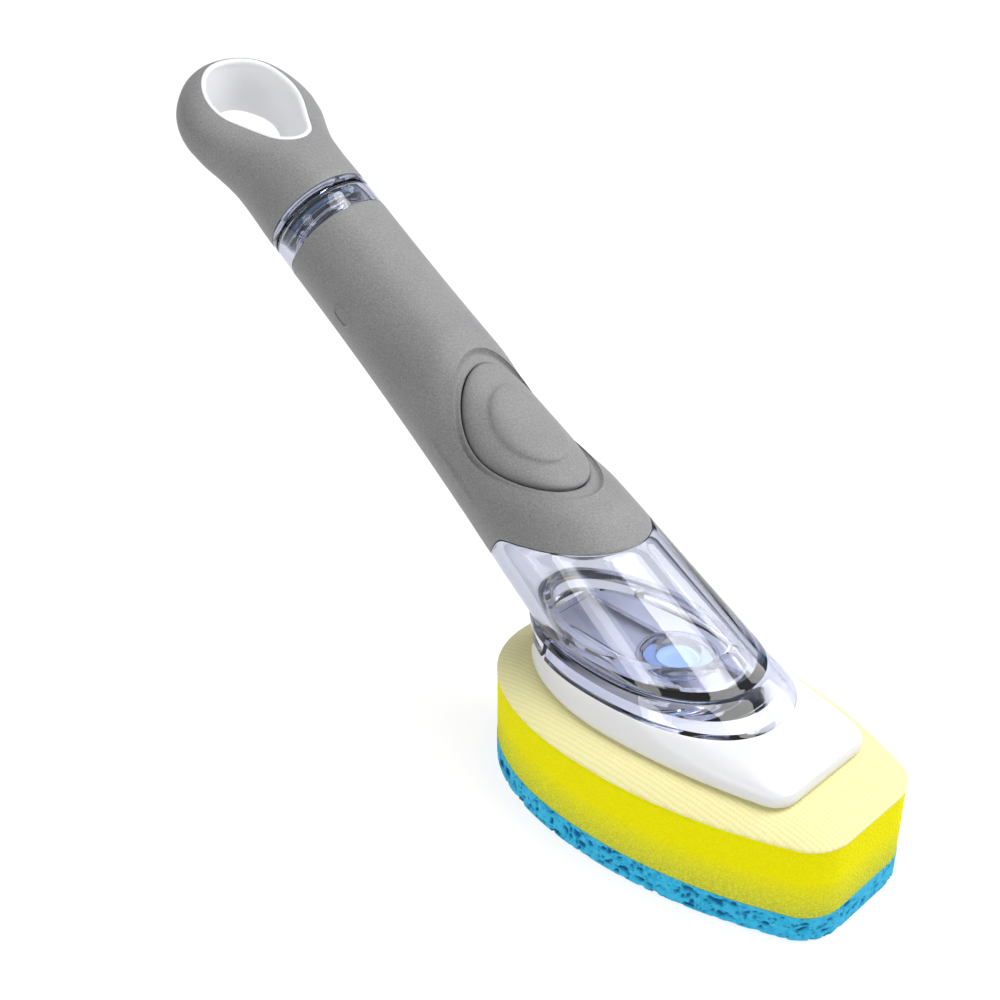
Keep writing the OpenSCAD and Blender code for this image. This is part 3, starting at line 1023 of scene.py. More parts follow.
@dataclass
class Refill:
    """The sponge and the plate that slides on the foot's rail."""

    scrub_t: float = 7.0
    foam_top: float = 25.2
    cloth_t: float = 0.6
    cloth_edge: Pair = (25.22, 25.6)
    plate_z: float = 28.5
    foot_z: float = 36.1
    roof_t: float = 2.0
    slot_x: Pair = (-60, 10.38)
    slot_w: Pair = (7.0, 11.0)
    slot_h: float = 3.1
    skirt_l: float = 33
    flat_in: float = 11
    glue: float = 0.02

    def crown(self, inset: float) -> float:
        """Height of the cloth's top at a distance in from the sponge's edge."""
        stops = ((0, 25.75), (0.5, 26.15), (3, 27.3), (7.5, 28.35), (self.flat_in, 28.5))
        return through(stops, inset)

    def pore(self, at: Vector) -> float:
        """Measures the open pores at a point: large ones and, between them, small ones.

        Args:
            at: The point, in millimetres.

        Returns:
            Depth of the pore there, in millimetres.
        """
        bent = at + noise.noise_vector(at / 2.6) * 1.1
        bent.z *= 1.5
        depth = 0.0
        for pitch, most, radius in ((4.6, 1.05, 0.36), (2.1, 0.65, 0.42)):
            away, middles = noise.voronoi(bent / pitch)
            wide = radius * (1 + 0.9 * noise.noise(middles[0] * 9.7))
            depth = max(depth, most * smooth_step(wide, 0.35 * wide, away[0]))
        return depth

    def scrub(self) -> Mesh:
        """Makes the scrubbing layer, with a soft lower edge and open pores in its skin.

        Returns:
            The mesh, with each point's pore depth as an attribute.
        """
        top, count, edge_z = self.scrub_t, 61, 1.0
        rows = [pole(0, 0)]
        rows += [lambda turn, k=k: SPONGE.at(turn) * k / count for k in range(2, count)]
        rows += rows_of(SPONGE.at, ((0.5, 0.15), (0.12, 0.6)))
        rows += rows_of(SPONGE.at, ((0, edge_z + (top - edge_z) * k / 14) for k in range(15)))
        rows += [pole(0, top)]
        mesh = lofted(rows, 512)
        mesh.normal_update()
        layer = mesh.verts.layers.float.new("pore")
        for vert in mesh.verts:
            held = smooth_step(top, top - 0.9, vert.co.z / MM)
            depth = self.pore(vert.co / MM) * held
            vert[layer] = depth
            vert.co -= vert.normal * depth * MM
        return mesh

    def foam(self) -> Mesh:
        """Makes the foam block under its crowned cloth.

        Returns:
            The mesh.
        """
        low, rise = self.scrub_t + self.glue, self.foam_top - self.scrub_t - 2 * self.glue
        under = self.cloth_t
        rows = [pole(0, low)]
        rows += rows_of(SPONGE.at, ((0.1, low + rise * k / 16) for k in range(17)))
        insets = (0.5, 3, 7.5, self.flat_in)
        rows += rows_of(SPONGE.at, ((i, self.crown(i) - under - self.glue) for i in insets))
        rows += [pole(0, self.crown(self.flat_in) - under - self.glue)]
        return lofted(rows, 256)

    def cloth(self) -> Mesh:
        """Makes the cloth, a thin shell with a rounded edge.

        Returns:
            The mesh.
        """
        under, insets = self.cloth_t, (0.0, 0.2, 0.6, 1.2, 2, 3, 4.5, 6, 7.5, 9, self.flat_in)
        rows = [pole(0, self.crown(self.flat_in) - under)]
        rows += rows_of(SPONGE.at, ((i + 0.1, self.crown(i) - under) for i in reversed(insets)))
        rows += rows_of(SPONGE.at, ((0, z) for z in self.cloth_edge))
        rows += rows_of(SPONGE.at, ((i + 0.06, self.crown(i)) for i in insets))
        rows += [pole(0, self.crown(self.flat_in))]
        return lofted(rows, 256)

    def shoulder(self, turn: float, share: float, height: float) -> Vector:
        """Finds a point of the plate's shoulder.

        Args:
            turn: Angle in radians.
            share: How far from the plate's outline to the skirt's.
            height: Height of the point.

        Returns:
            The point, in millimetres.
        """
        low = PLATE.at(turn, 0.6)
        reach = low - Vector((PLATE.middle, 0, 0))
        high = SKIRT.at(math.atan2(reach.y / SKIRT.half_w, reach.x / self.skirt_l), 0.5)
        point = low.lerp(high, share)
        point.z = height
        return point

    def plate(self) -> Mesh:
        """Makes the welded plate with soft shoulders, cut for the rail and the outlet.

        Returns:
            The mesh.
        """
        z, top = self.plate_z, self.foot_z
        side = ((1.6, 0), (0.9, 0.15), (0.3, 0.6), (0.02, 1.2), (0, 1.9), (0.1, 2.7), (0.42, 3.5))
        low = z + 4.25
        rows = [pole(PLATE.middle, z)]
        rows += rows_of(PLATE.at, ((inset, z + up) for inset, up in side))
        rows += rows_of(self.shoulder, (
            (0.05 + 0.95 * t, low + (top - z - 4.25) * t ** 0.85)
            for t in (0.06, 0.16, 0.32, 0.5, 0.68, 0.84, 1.0)
        ))
        rows += [pole(-8, top)]
        roof = top - self.roof_t
        narrow, wide = self.slot_w
        return carved(lofted(rows, 192), [
            block(self.slot_x, (-narrow, narrow), (roof - self.slot_h, top + 5)),
            block(self.slot_x, (-wide, wide), (roof - self.slot_h, roof)),
            rod(OUTLET_R, z - 2, top + 1, OUTLET, 48),
        ])

    def build(self) -> None:
        """Makes and dresses the refill's four pieces."""
        for name, mesh, finish, slot, node, crease in (
            ("scrub_pad", self.scrub(), ScrubCellulose(), Slot.SCRUB, "scrub_layer", 60),
            ("foam_block", self.foam(), YellowFoam(), Slot.FOAM, "sponge_foam", 50),
            ("backing_cloth", self.cloth(), RibbedCloth(), Slot.CLOTH, "sponge_cloth", 60),
            ("slide_plate", self.plate(), MouldedWhite(), Slot.PLATE, "refill_plate", 32),
        ):
            piece(name, mesh, finish, Body.REFILL, node, crease)


# The foot


@dataclass
class Foot:
    """The clear foot with its seal, valve and rail."""

    base_z: float = 36.25
    floor_z: float = 39.15
    lean_z: float = 41.0
    seam_z: float = 41.2
    plug_top: float = 44.4
    plug_in: float = 3.4
    wall: float = 1.8
    outlet_z: Pair = (30, 38.2)
    rail_x: Pair = (-37.92, 10.08)
    rail_w: Pair = (6.7, 10.7)
    stem_z: float = 31.6
    flange_z: Pair = (31.3, 33.8)
    slit_x: Pair = (-28.75, -27.25)
    slit_y: float = 18.3
    slit_w: float = 3
    slit_z: Pair = (35.2, 39.6)

    def leaned(self, turn: float, inset: float, z: float) -> Vector:
        """Finds a point inside the bell: upright at the heel and sloping in at the toe.

        Args:
            turn: Angle in radians.
            inset: Distance inside the rim.
            z: Height of the point.

        Returns:
            The point, in millimetres.
        """
        low = RIM.at(turn, inset, self.lean_z)
        top = LINE.ring(turn, LINE.bell_s, LINE.low_r - inset)
        t = max(0.0, (z - self.seam_z) / max(top.z - self.seam_z, 2.5))
        shifted = low.lerp(top, min(t, 1.0))
        plain = RIM.at(turn, inset, z)
        toeward = smooth_step(-0.35, 0.35, math.cos(turn))
        x = plain.x + (min(shifted.x, plain.x) - plain.x) * toeward
        return Vector((x, plain.y + (shifted.y - plain.y) * toeward, z))

    def slope(self, turn: float, t: float, inset: float = 0.0) -> Vector:
        """Point on the skirt's sloping side, t from its base to the seam."""
        return SKIRT.at(turn, inset, self.base_z).lerp(RIM.at(turn, inset, self.seam_z), t)

    def seat(self, turn: float, radius: float, z: float) -> Vector:
        """Point of a circle round the outlet."""
        return Vector((OUTLET_X + radius * math.cos(turn), radius * math.sin(turn), z))

    def shell(self) -> Mesh:
        """Makes the skirt, floor and plug as one moulding.

        Returns:
            The mesh.
        """
        base, seam, floor, top = self.base_z, self.seam_z, self.floor_z, self.plug_top
        outer, inner = self.plug_in, self.plug_in + self.wall
        pocket = floor - 1.4
        rows = [
            *rows_of(SKIRT.at, [(0.35, base)]),
            *rows_of(self.slope, [(0.02, 0.1), (0.08,), (0.35,), (0.65,), (0.9,), (0.97, 0.1)]),
            *rows_of(RIM.at, [(0.4, seam), (outer - 0.2, seam)]),
            *rows_of(self.leaned, [
                (outer, seam + 0.1), (outer, top - 0.5), (outer + 0.2, top - 0.1),
                (outer + 0.6, top), (inner - 0.4, top), (inner - 0.05, top - 0.3),
                (inner, top - 0.8), (inner, seam),
            ]),
            *rows_of(RIM.at, [(inner + 0.1, floor + 0.4), (inner + 0.5, floor), (8, floor)]),
            *rows_of(self.seat, [
                (9.4, floor), (7.5, floor), (7.4, floor - 0.1), (7.4, pocket), (OUTLET_R, pocket),
                (OUTLET_R, base), (8.5, base),
            ]),
            *rows_of(RIM.at, [(5.0, base), (2.8, base), (2.8, base + 1.9)]),
            *rows_of(self.slope, [(0.38, self.wall), (0.02, self.wall)]),
            *rows_of(SKIRT.at, [(0.35, base)]),
        ]
        return lofted(rows, 160)

    def body(self) -> Mesh:
        """Makes the whole foot: the moulding with its rail, outlet and the latch's two slits.

        Returns:
            The mesh.
        """
        narrow, wide = self.rail_w
        stem = block(self.rail_x, (-narrow, narrow), (self.stem_z, self.base_z + 0.3), 0.25)
        flange = block(self.rail_x, (-wide, wide), self.flange_z, 0.3)
        slits = [
            block(self.slit_x, (y - self.slit_w, y + self.slit_w), self.slit_z)
            for y in (-self.slit_y, self.slit_y)
        ]
        whole = carved(self.shell(), [stem, flange], Work.JOIN)
        return carved(whole, [rod(OUTLET_R, *self.outlet_z, OUTLET), *slits])

    def seal(self) -> Mesh:
        """Dark ring in the seam between bell and foot."""
        side = ((0.75, 41.25), (0.62, 41.6), (0.75, 41.97), (1.9, 41.97), (2.0, 41.6), (1.9, 41.25))
        return lofted(rows_of(RIM.at, (*side, side[0])), 160)

    def valve(self) -> Mesh:
        """Sunken dome with its flange."""
        return turned((
            (0, 36.4), (2.4, 36.35), (3.4, 36.6), (3.9, 37.4), (4.3, 37.8), (7.3, 37.8),
            (7.3, 38.9), (6.0, 38.95), (4.4, 38.9), (3.8, 38.3), (3.0, 37.9), (1.5, 37.75),
            (0, 37.7),
        ), OUTLET)

    def retainer(self) -> Mesh:
        """Clear ring that holds the valve down."""
        return turned((
            (4.9, 39.2), (9.45, 39.2), (9.5, 39.9), (9.3, 40.1), (8.6, 40.15), (8.35, 39.9),
            (8.1, 39.95), (7.9, 40.5), (7.6, 40.66), (6.6, 40.66), (5.6, 40.4), (5.0, 39.9),
            (4.9, 39.2),
        ), OUTLET)

    def build(self) -> None:
        """Makes and dresses the foot's four pieces."""
        for name, mesh, finish, slot, node, crease in (
            ("clear_foot", self.body(), FootPlastic(), Slot.CLEAR, "foot_base", 28),
            ("seam_seal", self.seal(), DarkSeal(), Slot.SEAL, "foot_gasket", 50),
            ("slit_valve", self.valve(), BlueSilicone(), Slot.VALVE, "outlet_valve", 40),
            ("valve_ring", self.retainer(), ClearPlastic(), Slot.CLEAR, "valve_retainer", 30),
        ):
            piece(name, mesh, finish, Body.HANDLE, node, crease)


# The handle


@dataclass
class Handle:
    """The clear reservoir and the grey sleeve moulded round it."""

    sleeve_t: float = 1.3
    wall: float = 1.6
    mouth_s: float = 127.3
    bore_r: float = 10.85
    window: Pair = (22.4, 13.8)
    window_x: Pair = (3, 26)
    dish: float = 0.95
    dish_reach: float = 1.28
    mark_s: float = 101.3
    mark_w: float = 1.3
    mark_l: float = 1.1
    mark_deep: float = 0.9
    bead_w: float = 1.35

    def window_bar(self) -> Mesh:
        """Makes an oval bar on the thumb side, which cuts the window.

        Returns:
            The mesh.
        """
        def edge(turn: float, x: float, share: float) -> Vector:
            """Point of the oval at a reach from the axis."""
            half_l, half_w = (share * half for half in self.window)
            return LINE.at(LINE.pad_s + half_l * math.cos(turn), x, half_w * math.sin(turn))

        low, high = self.window_x
        return lofted(rows_of(edge, [(low, 0), (low, 1), (high, 1), (high, 0)]), 96)

    def reservoir(self) -> Mesh:
        """Makes bell, tube, collar and screwed mouth in one skin, inside and out.

        Returns:
            The mesh.
        """
        under = self.sleeve_t + 0.05
        inner = under + self.wall
        edge = LINE.grip_edge
        lip_s, mouth = LINE.grip_top_s + 0.02, self.mouth_s
        rows = rows_of(RIM.at, [(0.35, RIM_Z), (0.1, RIM_Z + 0.1)]) + rows_of(LINE.skin, [(0.012,)])
        rows += [lambda a, k=k: LINE.skin(a, 0.02 + (edge(a) - 0.03) * k / 26) for k in range(27)]
        rows += rows_of(LINE.past_edge, [(-0.004, 0.12), (-0.003, under)])
        rows += [
            lambda a, k=k: LINE.skin(a, edge(a) + (2 - edge(a)) * k / 16, under)
            for k in range(17)
        ]
        rows += rows_of(LINE.ring, [
            (lip_s, 12.5), (lip_s, 13.55), (LINE.grip_top_s + 0.12, 13.7), (123, 13.7), (125, 13.7),
            (mouth - 0.5, 13.7), (mouth - 0.1, 13.55), (mouth, 13.2), (mouth, 11.3),
            (mouth - 0.1, 11.0), (mouth - 0.5, self.bore_r), (122, self.bore_r),
            (116.3, self.bore_r), (115.4, 10.95),
        ])
        rows += rows_of(LINE.skin, ((1.94 * (1 - k / 40), inner) for k in range(40)))
        rows += rows_of(RIM.at, [(inner, RIM_Z), (0.35, RIM_Z)])
        return carved(lofted(rows, 160), [self.window_bar()])

    def sleeve(self) -> Mesh:
        """Makes the soft sleeve, thin at its slanting edge, with its window and side marks.

        Returns:
            The mesh.
        """
        edge, t, top = LINE.grip_edge, self.sleeve_t, 1.99
        rows = rows_of(LINE.past_edge, [(0.002, t), (0, 0.45), (0.001, 0.15), (0.006, 0)])
        rows += [
            lambda a, k=k: LINE.skin(a, edge(a) + 0.02 + (top - edge(a) - 0.02) * k / 60)
            for k in range(61)
        ]
        rows += rows_of(LINE.ring, [(120.5, 13.8), (120.68, 13.72), (120.75, 13.5), (120.75, 12.5)])
        rows += [
            lambda a, k=k: LINE.skin(a, top - (top - edge(a) - 0.002) * k / 24, t)
            for k in range(25)
        ]
        body = lofted(rows, 192)
        self.dished(body)
        return carved(body, [self.window_bar(), self.mark(-1), self.mark(1)])

    def dished(self, body: Mesh) -> None:
        """Sinks the sleeve's outer skin a little round the window.

        Args:
            body: The sleeve, changed in place.
        """
        half_l, half_w = self.window
        for vert in body.verts:
            s, x, y = LINE.local(vert.co / MM)
            out = math.hypot((s - LINE.pad_s) / half_l, y / half_w)
            reach = math.hypot(x, y)
            if x > 0 and reach > LINE.radius(s) - self.sleeve_t / 2:
                sunk = reach - self.dish * smooth_step(self.dish_reach, 1.0, out)
                vert.co = LINE.at(s, x * sunk / reach, y * sunk / reach) * MM

    def mark(self, side: int) -> Mesh:
        """Makes a round-ended pill that cuts a side mark.

        Args:
            side: 1 or -1, for the side of the handle.

        Returns:
            The mesh.
        """
        mesh = bmesh.new()
        bmesh.ops.create_uvsphere(mesh, u_segments=24, v_segments=16, radius=1)
        for vert in mesh.verts:
            x, y, z = vert.co
            longer = math.copysign(self.mark_l, z) * smooth_step(0, 0.05, abs(z))
            s = self.mark_s + z * self.mark_w + longer
            out = LINE.radius(self.mark_s) + y * self.mark_deep
            vert.co = LINE.at(s, x * self.mark_w, side * out) * MM
        bmesh.ops.recalc_face_normals(mesh, faces=mesh.faces)
        return mesh

    def mark_rim(self, side: int) -> Mesh:
        """Makes the raised bead round a side mark.

        Args:
            side: 1 or -1, for the side of the handle.

        Returns:
            The mesh.
        """
        def around(turn: float, out: float, lift: float) -> Vector:
            """Finds a point of the bead.

            Args:
                turn: Angle round the mark in radians.
                out: Distance out from the mark's edge.
                lift: Height over the sleeve's skin.

            Returns:
                The point, in millimetres.
            """
            c, s = math.cos(turn), math.sin(turn)
            longer = math.copysign(self.mark_l, c) * smooth_step(0, 0.3, abs(c))
            station = self.mark_s + c * (self.bead_w + out) + longer
            x = s * (self.bead_w + out)
            r = LINE.radius(station)
            return LINE.at(station, x, side * (math.sqrt(r * r - x * x) + lift))

        return lofted(rows_of(around, [
            (0.0, -0.15), (0.02, 0.12), (0.15, 0.26), (0.38, 0.28), (0.6, 0.14), (0.8, -0.15),
            (0.0, -0.15),
        ]), 48)

    def build(self) -> None:
        """Makes and dresses the reservoir and its sleeve."""
        sleeve = joined([self.sleeve(), self.mark_rim(1), self.mark_rim(-1)])
        for name, mesh, finish, slot, node, crease in (
            ("clear_reservoir", self.reservoir(), ClearPlastic(), Slot.CLEAR, "reservoir_body", 28),
            ("grip_skin", sleeve, SoftGrip(), Slot.GRIP, "grip_sleeve", 40),
        ):
            piece(name, mesh, finish, Body.HANDLE, node, crease)


@dataclass
class ThumbButton:
    """The stepped oval ring and the pad that the thumb presses."""

    skin_w: float = 12

    def oval(
        self, turn: float, half_l: float, half_w: float, depth: float, flat: float = 0.7,
    ) -> Vector:
        """Finds a point of an oval laid on the handle's skin.

        Args:
            turn: Angle in radians.
            half_l: Half the oval's length along the handle.
            half_w: Half its width.
            depth: Distance below the skin.
            flat: How much deeper the middle lies than the sides.

        Returns:
            The point, in millimetres.
        """
        s = LINE.pad_s + half_l * math.cos(turn)
        y = half_w * math.sin(turn)
        r = LINE.radius(s) - depth - flat * (1 - (y / self.skin_w) ** 2)
        return LINE.at(s, math.sqrt(max(r * r - y * y, 0)), y)

    def ring(self) -> Mesh:
        """Carrier ring with soft shoulders."""
        return lofted(rows_of(self.oval, (
            (22.37, 13.76, 3.6, 0), (22.37, 13.76, 1.12, 0), (22.25, 13.67, 1.2, 0),
            (22.1, 13.54, 1.42, 0.1), (21.85, 13.35, 1.66, 0.3), (21.5, 13.12, 1.8, 0.5),
            (20.9, 12.9, 1.85, 0.65), (20.3, 12.7, 1.85), (19.7, 12.5, 1.88), (19.3, 12.35, 1.98),
            (19.05, 12.25, 2.2), (19.0, 12.2, 3.2), (22.37, 13.76, 3.6, 0),
        )), 160)

    def pad(self) -> Mesh:
        """Pad with its raised middle."""
        return lofted(rows_of(self.oval, (
            (0, 0, 4.0), (10, 6, 4.0), (18.4, 11.6, 3.4), (18.75, 11.95, 2.1), (18.68, 11.9, 1.6),
            (18.4, 11.65, 1.3), (17.9, 11.3, 1.15), (16.5, 10.6, 1.12), (15, 10, 1.12),
            (12.5, 9.0, 1.12), (11.75, 8.55, 1.08), (11.45, 8.35, 0.92), (11.15, 8.1, 0.66),
            (10.7, 7.8, 0.5), (9, 6.5, 0.42), (6, 4.3, 0.4), (3, 2.1, 0.4), (0, 0, 0.4),
        )), 160)

    def build(self) -> None:
        """Makes and dresses the ring and the pad."""
        piece("button_ring", self.ring(), SoftGrip(), Body.HANDLE, "pad_ring", 50)
        piece("button_pad", self.pad(), SoftGrip(), Body.BUTTON, "thumb_pad", 50)


# The screw cap


@dataclass(frozen=True)
class ScrewCap:
    """The cap with its plug, soft skin and white-lined hanging hole."""

    low_s: float = 129.45
    bulb_s: float = 158.9
    round_s: float = 168
    end_s: float = 177.8
    half_w: float = 18.9
    half_t: float = 8.0
    wide: Pair = (162.1, 13.1)
    tip: Pair = (151.4, 7.8)
    hole_s: float = 158
    drawn_s: float = 152
    thread_s: float = 118.8
    lead: float = 5

    def width(self, s: float) -> float:
        """Measures half the cap's width.

        Args:
            s: Station.

        Returns:
            Half the width there.
        """
        if s > self.bulb_s:
            return math.sqrt(max(self.half_w**2 - (s - self.bulb_s) ** 2, 0))
        return through((
            (128, 13.8), (133, 13.75), (139, 13.75), (144.6, 14.35), (149.5, 16.1), (154, 17.95),
            (self.bulb_s, self.half_w),
        ), s)

    def depth(self, s: float) -> float:
        """Measures half the cap's thickness.

        Args:
            s: Station.

        Returns:
            Half the thickness there.
        """
        flat_end = self.end_s - self.half_t
        if s > flat_end:
            return math.sqrt(max(self.half_t**2 - (s - flat_end) ** 2, 0))
        return through((
            (128, 13.8), (132, 13.7), (138, 12.7), (144.6, 11.2), (151, 9.4), (157, 8.25),
            (163, self.half_t), (flat_end, self.half_t),
        ), s)

    def fullness(self, s: float) -> float:
        """How square the cap's section is at a station."""
        stops = ((128, 2.0), (133, 2.02), (144.6, 2.3), (156, 2.7), (168, 2.7), (self.end_s, 2.1))
        return through(stops, s)

    def forward(self, s: float) -> float:
        """How far the section lies towards the thumb side."""
        return 0.8 * smooth_step(132, 156, s)

    def section(self, turn: float, s: float, inset: float = 0.0) -> Vector:
        """Finds a point of the cap's skin.

        Args:
            turn: Angle in radians.
            s: Station.
            inset: Depth below the skin.

        Returns:
            The point, in millimetres.
        """
        power = 2 / self.fullness(s)
        x = (self.depth(s) - inset) * signed_power(math.cos(turn), power)
        y = (self.width(s) - inset) * signed_power(math.sin(turn), power)
        return LINE.at(s, x + self.forward(s), y)

    def face(self, s: float, y: float, side: int) -> float:
        """Measures how far the cap's skin stands from the axis over a point.

        Args:
            s: Station of the point.
            y: Its reach across.
            side: 1 on the thumb side, -1 at the back.

        Returns:
            The reach to the thumb side.
        """
        n = self.fullness(s)
        share = min(abs(y) / max(self.width(s), 0.01), 0.999)
        return self.forward(s) + side * self.depth(s) * (1 - share**n) ** (1 / n)

    @lru_cache(maxsize=None)
    def drop_outline(self, inset: float) -> tuple[Pair, ...]:
        """Lays out the teardrop of the hanging hole.

        Args:
            inset: Distance that the outline is drawn in.

        Returns:
            Evenly spaced points, as station and reach across, from the wide end round.
        """
        (s0, r0), (s1, r1) = self.wide, self.tip
        turn_in = math.pi / 2 + math.asin((r0 - r1) / (s0 - s1))
        arcs = [(s0, r0 - inset, turn_in * k / 60) for k in range(61)]
        arcs += [(s1, r1 - inset, turn_in + (math.pi - turn_in) * k / 24) for k in range(25)]
        points = [(s + r * math.cos(a), r * math.sin(a)) for s, r, a in arcs]
        lengths = [0.0]
        for (a0, b0), (a1, b1) in zip(points, points[1:]):
            lengths.append(lengths[-1] + math.hypot(a1 - a0, b1 - b0))
        half = []
        for k in range(DROP_STEPS + 1):
            want, j = lengths[-1] * k / DROP_STEPS, 0
            while j < len(lengths) - 2 and lengths[j + 1] < want:
                j += 1
            t = (want - lengths[j]) / max(lengths[j + 1] - lengths[j], 1e-9)
            (a0, b0), (a1, b1) = points[j], points[j + 1]
            half.append((a0 + (a1 - a0) * t, b0 + (b1 - b0) * t))
        return tuple(half + [(s, -y) for s, y in reversed(half[1:-1])])

    def drop(self, turn: float, inset: float) -> Pair:
        """Point of the teardrop at an angle, as station and reach across."""
        count = 2 * DROP_STEPS
        return self.drop_outline(round(inset, 4))[round(turn / TURN * count) % count]

    def cutter(self) -> Mesh:
        """Makes a teardrop bar through the cap, which cuts the hanging hole.

        Returns:
            The mesh.
        """
        def edge(turn: float, x: float) -> Vector:
            """Point of the teardrop at a reach from the axis."""
            s, y = self.drop(turn, 0.0)
            return LINE.at(s, x, y)

        def middle(turn: float, x: float) -> Vector:
            """Middle of the bar's end at a reach from the axis."""
            return LINE.at(self.hole_s, x, 0)

        back, front = [(-25,)], [(25,)]
        rows = rows_of(middle, back) + rows_of(edge, back + front) + rows_of(middle, front)
        return lofted(rows, 2 * DROP_STEPS)

    def skin(self) -> Mesh:
        """Makes the grey skin from the rim to its round end, cut by the teardrop.

        Returns:
            The mesh.
        """
        low, end, round_s = self.low_s, self.end_s, self.round_s
        start, run = low + 0.4, round_s - low - 0.4
        rows = rows_of(LINE.ring, [(low, 0), (low, 9.2)])
        rows += rows_of(self.section, [(low, 0.35), (low + 0.1, 0.1), (start, 0)])
        rows += rows_of(self.section, ((start + run * k / 40,) for k in range(1, 41)))
        rows += rows_of(self.section, (
            (round_s + (end - round_s) * math.sin(math.pi / 2 * k / 24),) for k in range(1, 24)
        ))
        rows += [lambda turn: LINE.at(end, self.forward(end), 0)]
        post = rod(9.0, -2, 12.1, LINE.matrix(low))
        return carved(lofted(rows, 128), [self.cutter(), post])

    def lip(self, turn: float, inset: float, sink: float, side: int, drawn: float = 0.0) -> Vector:
        """Finds a point of the liner's lip, under the cap's skin.

        Args:
            turn: Angle in radians.
            inset: Distance inside the hole's edge.
            sink: Depth below the cap's skin.
            side: 1 on the thumb side, -1 at the back.
            drawn: Share by which the hole is drawn in towards its tip.

        Returns:
            The point, in millimetres.
        """
        s, y = self.drop(turn, inset)
        s -= drawn * max(s - self.drawn_s, 0)
        return LINE.at(s, self.face(*self.drop(turn, 0.05), side) - side * sink, y)

    def funnel(self, turn: float, share: float) -> Vector:
        """Finds a point of the liner's funnel.

        Args:
            turn: Angle in radians.
            share: How far from the lip to the back.

        Returns:
            The point, in millimetres.
        """
        s, y = self.drop(turn, 1.55 + 1.0 * share)
        s -= 0.2 * share * max(s - self.drawn_s, 0)
        edge = self.drop(turn, 0.05)
        front, back = self.face(*edge, 1) - 1.3, self.face(*edge, -1) + 0.6
        return LINE.at(s, front + (back - front) * share, y)

    def insert(self) -> Mesh:
        """Makes the white liner: a soft lip on the thumb side and a funnel to the back.

        Returns:
            The mesh.
        """
        rows = rows_of(self.lip, (
            (0.06, 0.1, 1), (0.2, -0.06, 1), (0.6, -0.08, 1), (1.0, 0.02, 1), (1.25, 0.3, 1),
            (1.42, 0.7, 1),
        ))
        rows += rows_of(self.funnel, ((k / 16,) for k in range(17)))
        rows += rows_of(self.lip, (
            (2.3, 0.15, -1, 0.19), (1.8, -0.04, -1, 0.16), (0.5, -0.06, -1), (0.06, 0.1, -1),
            (0.06, 0.1, 1),
        ))
        return lofted(rows, 2 * DROP_STEPS)

    def core(self) -> Mesh:
        """Makes the clear plug with its rim, seal groove and thread.

        Returns:
            The mesh.
        """
        body = turned((
            (0, 137.3), (6.5, 137.3), (7.7, 136.9), (7.75, 117.9), (8.0, 117.7), (9.4, 117.7),
            (9.65, 117.95), (9.65, 124.4), (10.5, 124.45), (10.7, 124.7), (10.7, 125.1),
            (10.3, 125.2), (9.3, 125.3), (9.15, 125.6), (9.15, 126.4), (9.3, 126.8), (10.4, 126.9),
            (10.7, 127.0), (10.7, 127.5), (13.3, 127.5), (13.55, 127.55), (13.7, 127.75),
            (13.7, 129.1), (13.6, 129.3), (13.3, 129.4), (8.95, 129.4), (8.95, 141.2),
            (8.6, 141.4), (0, 141.4),
        ), LINE.matrix())
        return joined([body, self.thread()])

    def thread(self) -> Mesh:
        """Makes one turn of the plug's screw ridge, fading out at both ends.

        Returns:
            The mesh.
        """
        count, run_out = 72, 6

        def ridge(turn: float, k: int) -> Vector:
            """Finds a point of the ridge's section.

            Args:
                turn: Angle round the section in radians.
                k: Step along the thread.

            Returns:
                The point, in millimetres.
            """
            fade = min(1, k / run_out, (count - k) / run_out)
            s = self.thread_s + self.lead * k / count
            out = 9.6 + (0.02 + 0.45 * fade) * (1 + math.cos(turn))
            up = 0.8 * math.sin(turn) * (0.3 + 0.7 * fade)
            return LINE.ring(TURN * k / count, s + up, out)

        def tip(turn: float, k: int) -> Vector:
            """Middle of the section, where the ridge is closed."""
            return (ridge(0, k) + ridge(math.pi, k)) / 2

        steps = [(k,) for k in range(count + 1)]
        rows = rows_of(tip, steps[:1]) + rows_of(ridge, steps) + rows_of(tip, steps[-1:])
        return lofted(rows, 12)

    def seal(self) -> Mesh:
        """Makes the sealing ring in the plug's groove.

        Returns:
            The mesh.
        """
        count, thick = 20, 0.64
        turns = [TURN * k / count for k in range(count + 1)]
        side = [(9.9 + thick * math.cos(a), 126 + thick * math.sin(a)) for a in turns]
        return turned(side, LINE.matrix())

    def build(self) -> None:
        """Makes and dresses the cap's four pieces."""
        for name, mesh, finish, body, slot, node, crease in (
            ("cap_skin", self.skin(), SoftGrip(), Body.CAP, Slot.GRIP, "cap_grip", 40),
            ("hole_liner", self.insert(), MouldedWhite(), Body.CAP, Slot.INSERT, "hang_insert", 60),
            ("clear_plug", self.core(), ClearPlastic(), Body.CAP, Slot.CLEAR, "cap_core", 30),
            ("plug_seal", self.seal(), DarkSeal(), Body.CAP_SEAL, Slot.SEAL, "cap_seal_ring", 60),
        ):
            piece(name, mesh, finish, body, node, crease)


# The studio


@dataclass(frozen=True)
class SoftBox:
    """A rectangular studio lamp that faces the wand, with its places and sizes in metres."""

    name: str
    at: Triple
    size: Pair
    watts: float
    aim: Triple = (-0.05, 0, 0.05)

    def hang(self) -> None:
        """Puts the lamp in its place."""
        data = bpy.data.lights.new(self.name, "AREA")
        data.shape, data.size, data.size_y, data.energy = "RECTANGLE", *self.size, self.watts
        light = placed(self.name, data)
        light.location = self.at
        back = Vector(self.at) - Vector(self.aim)
        light.rotation_euler = back.to_track_quat("Z", "Y").to_euler()


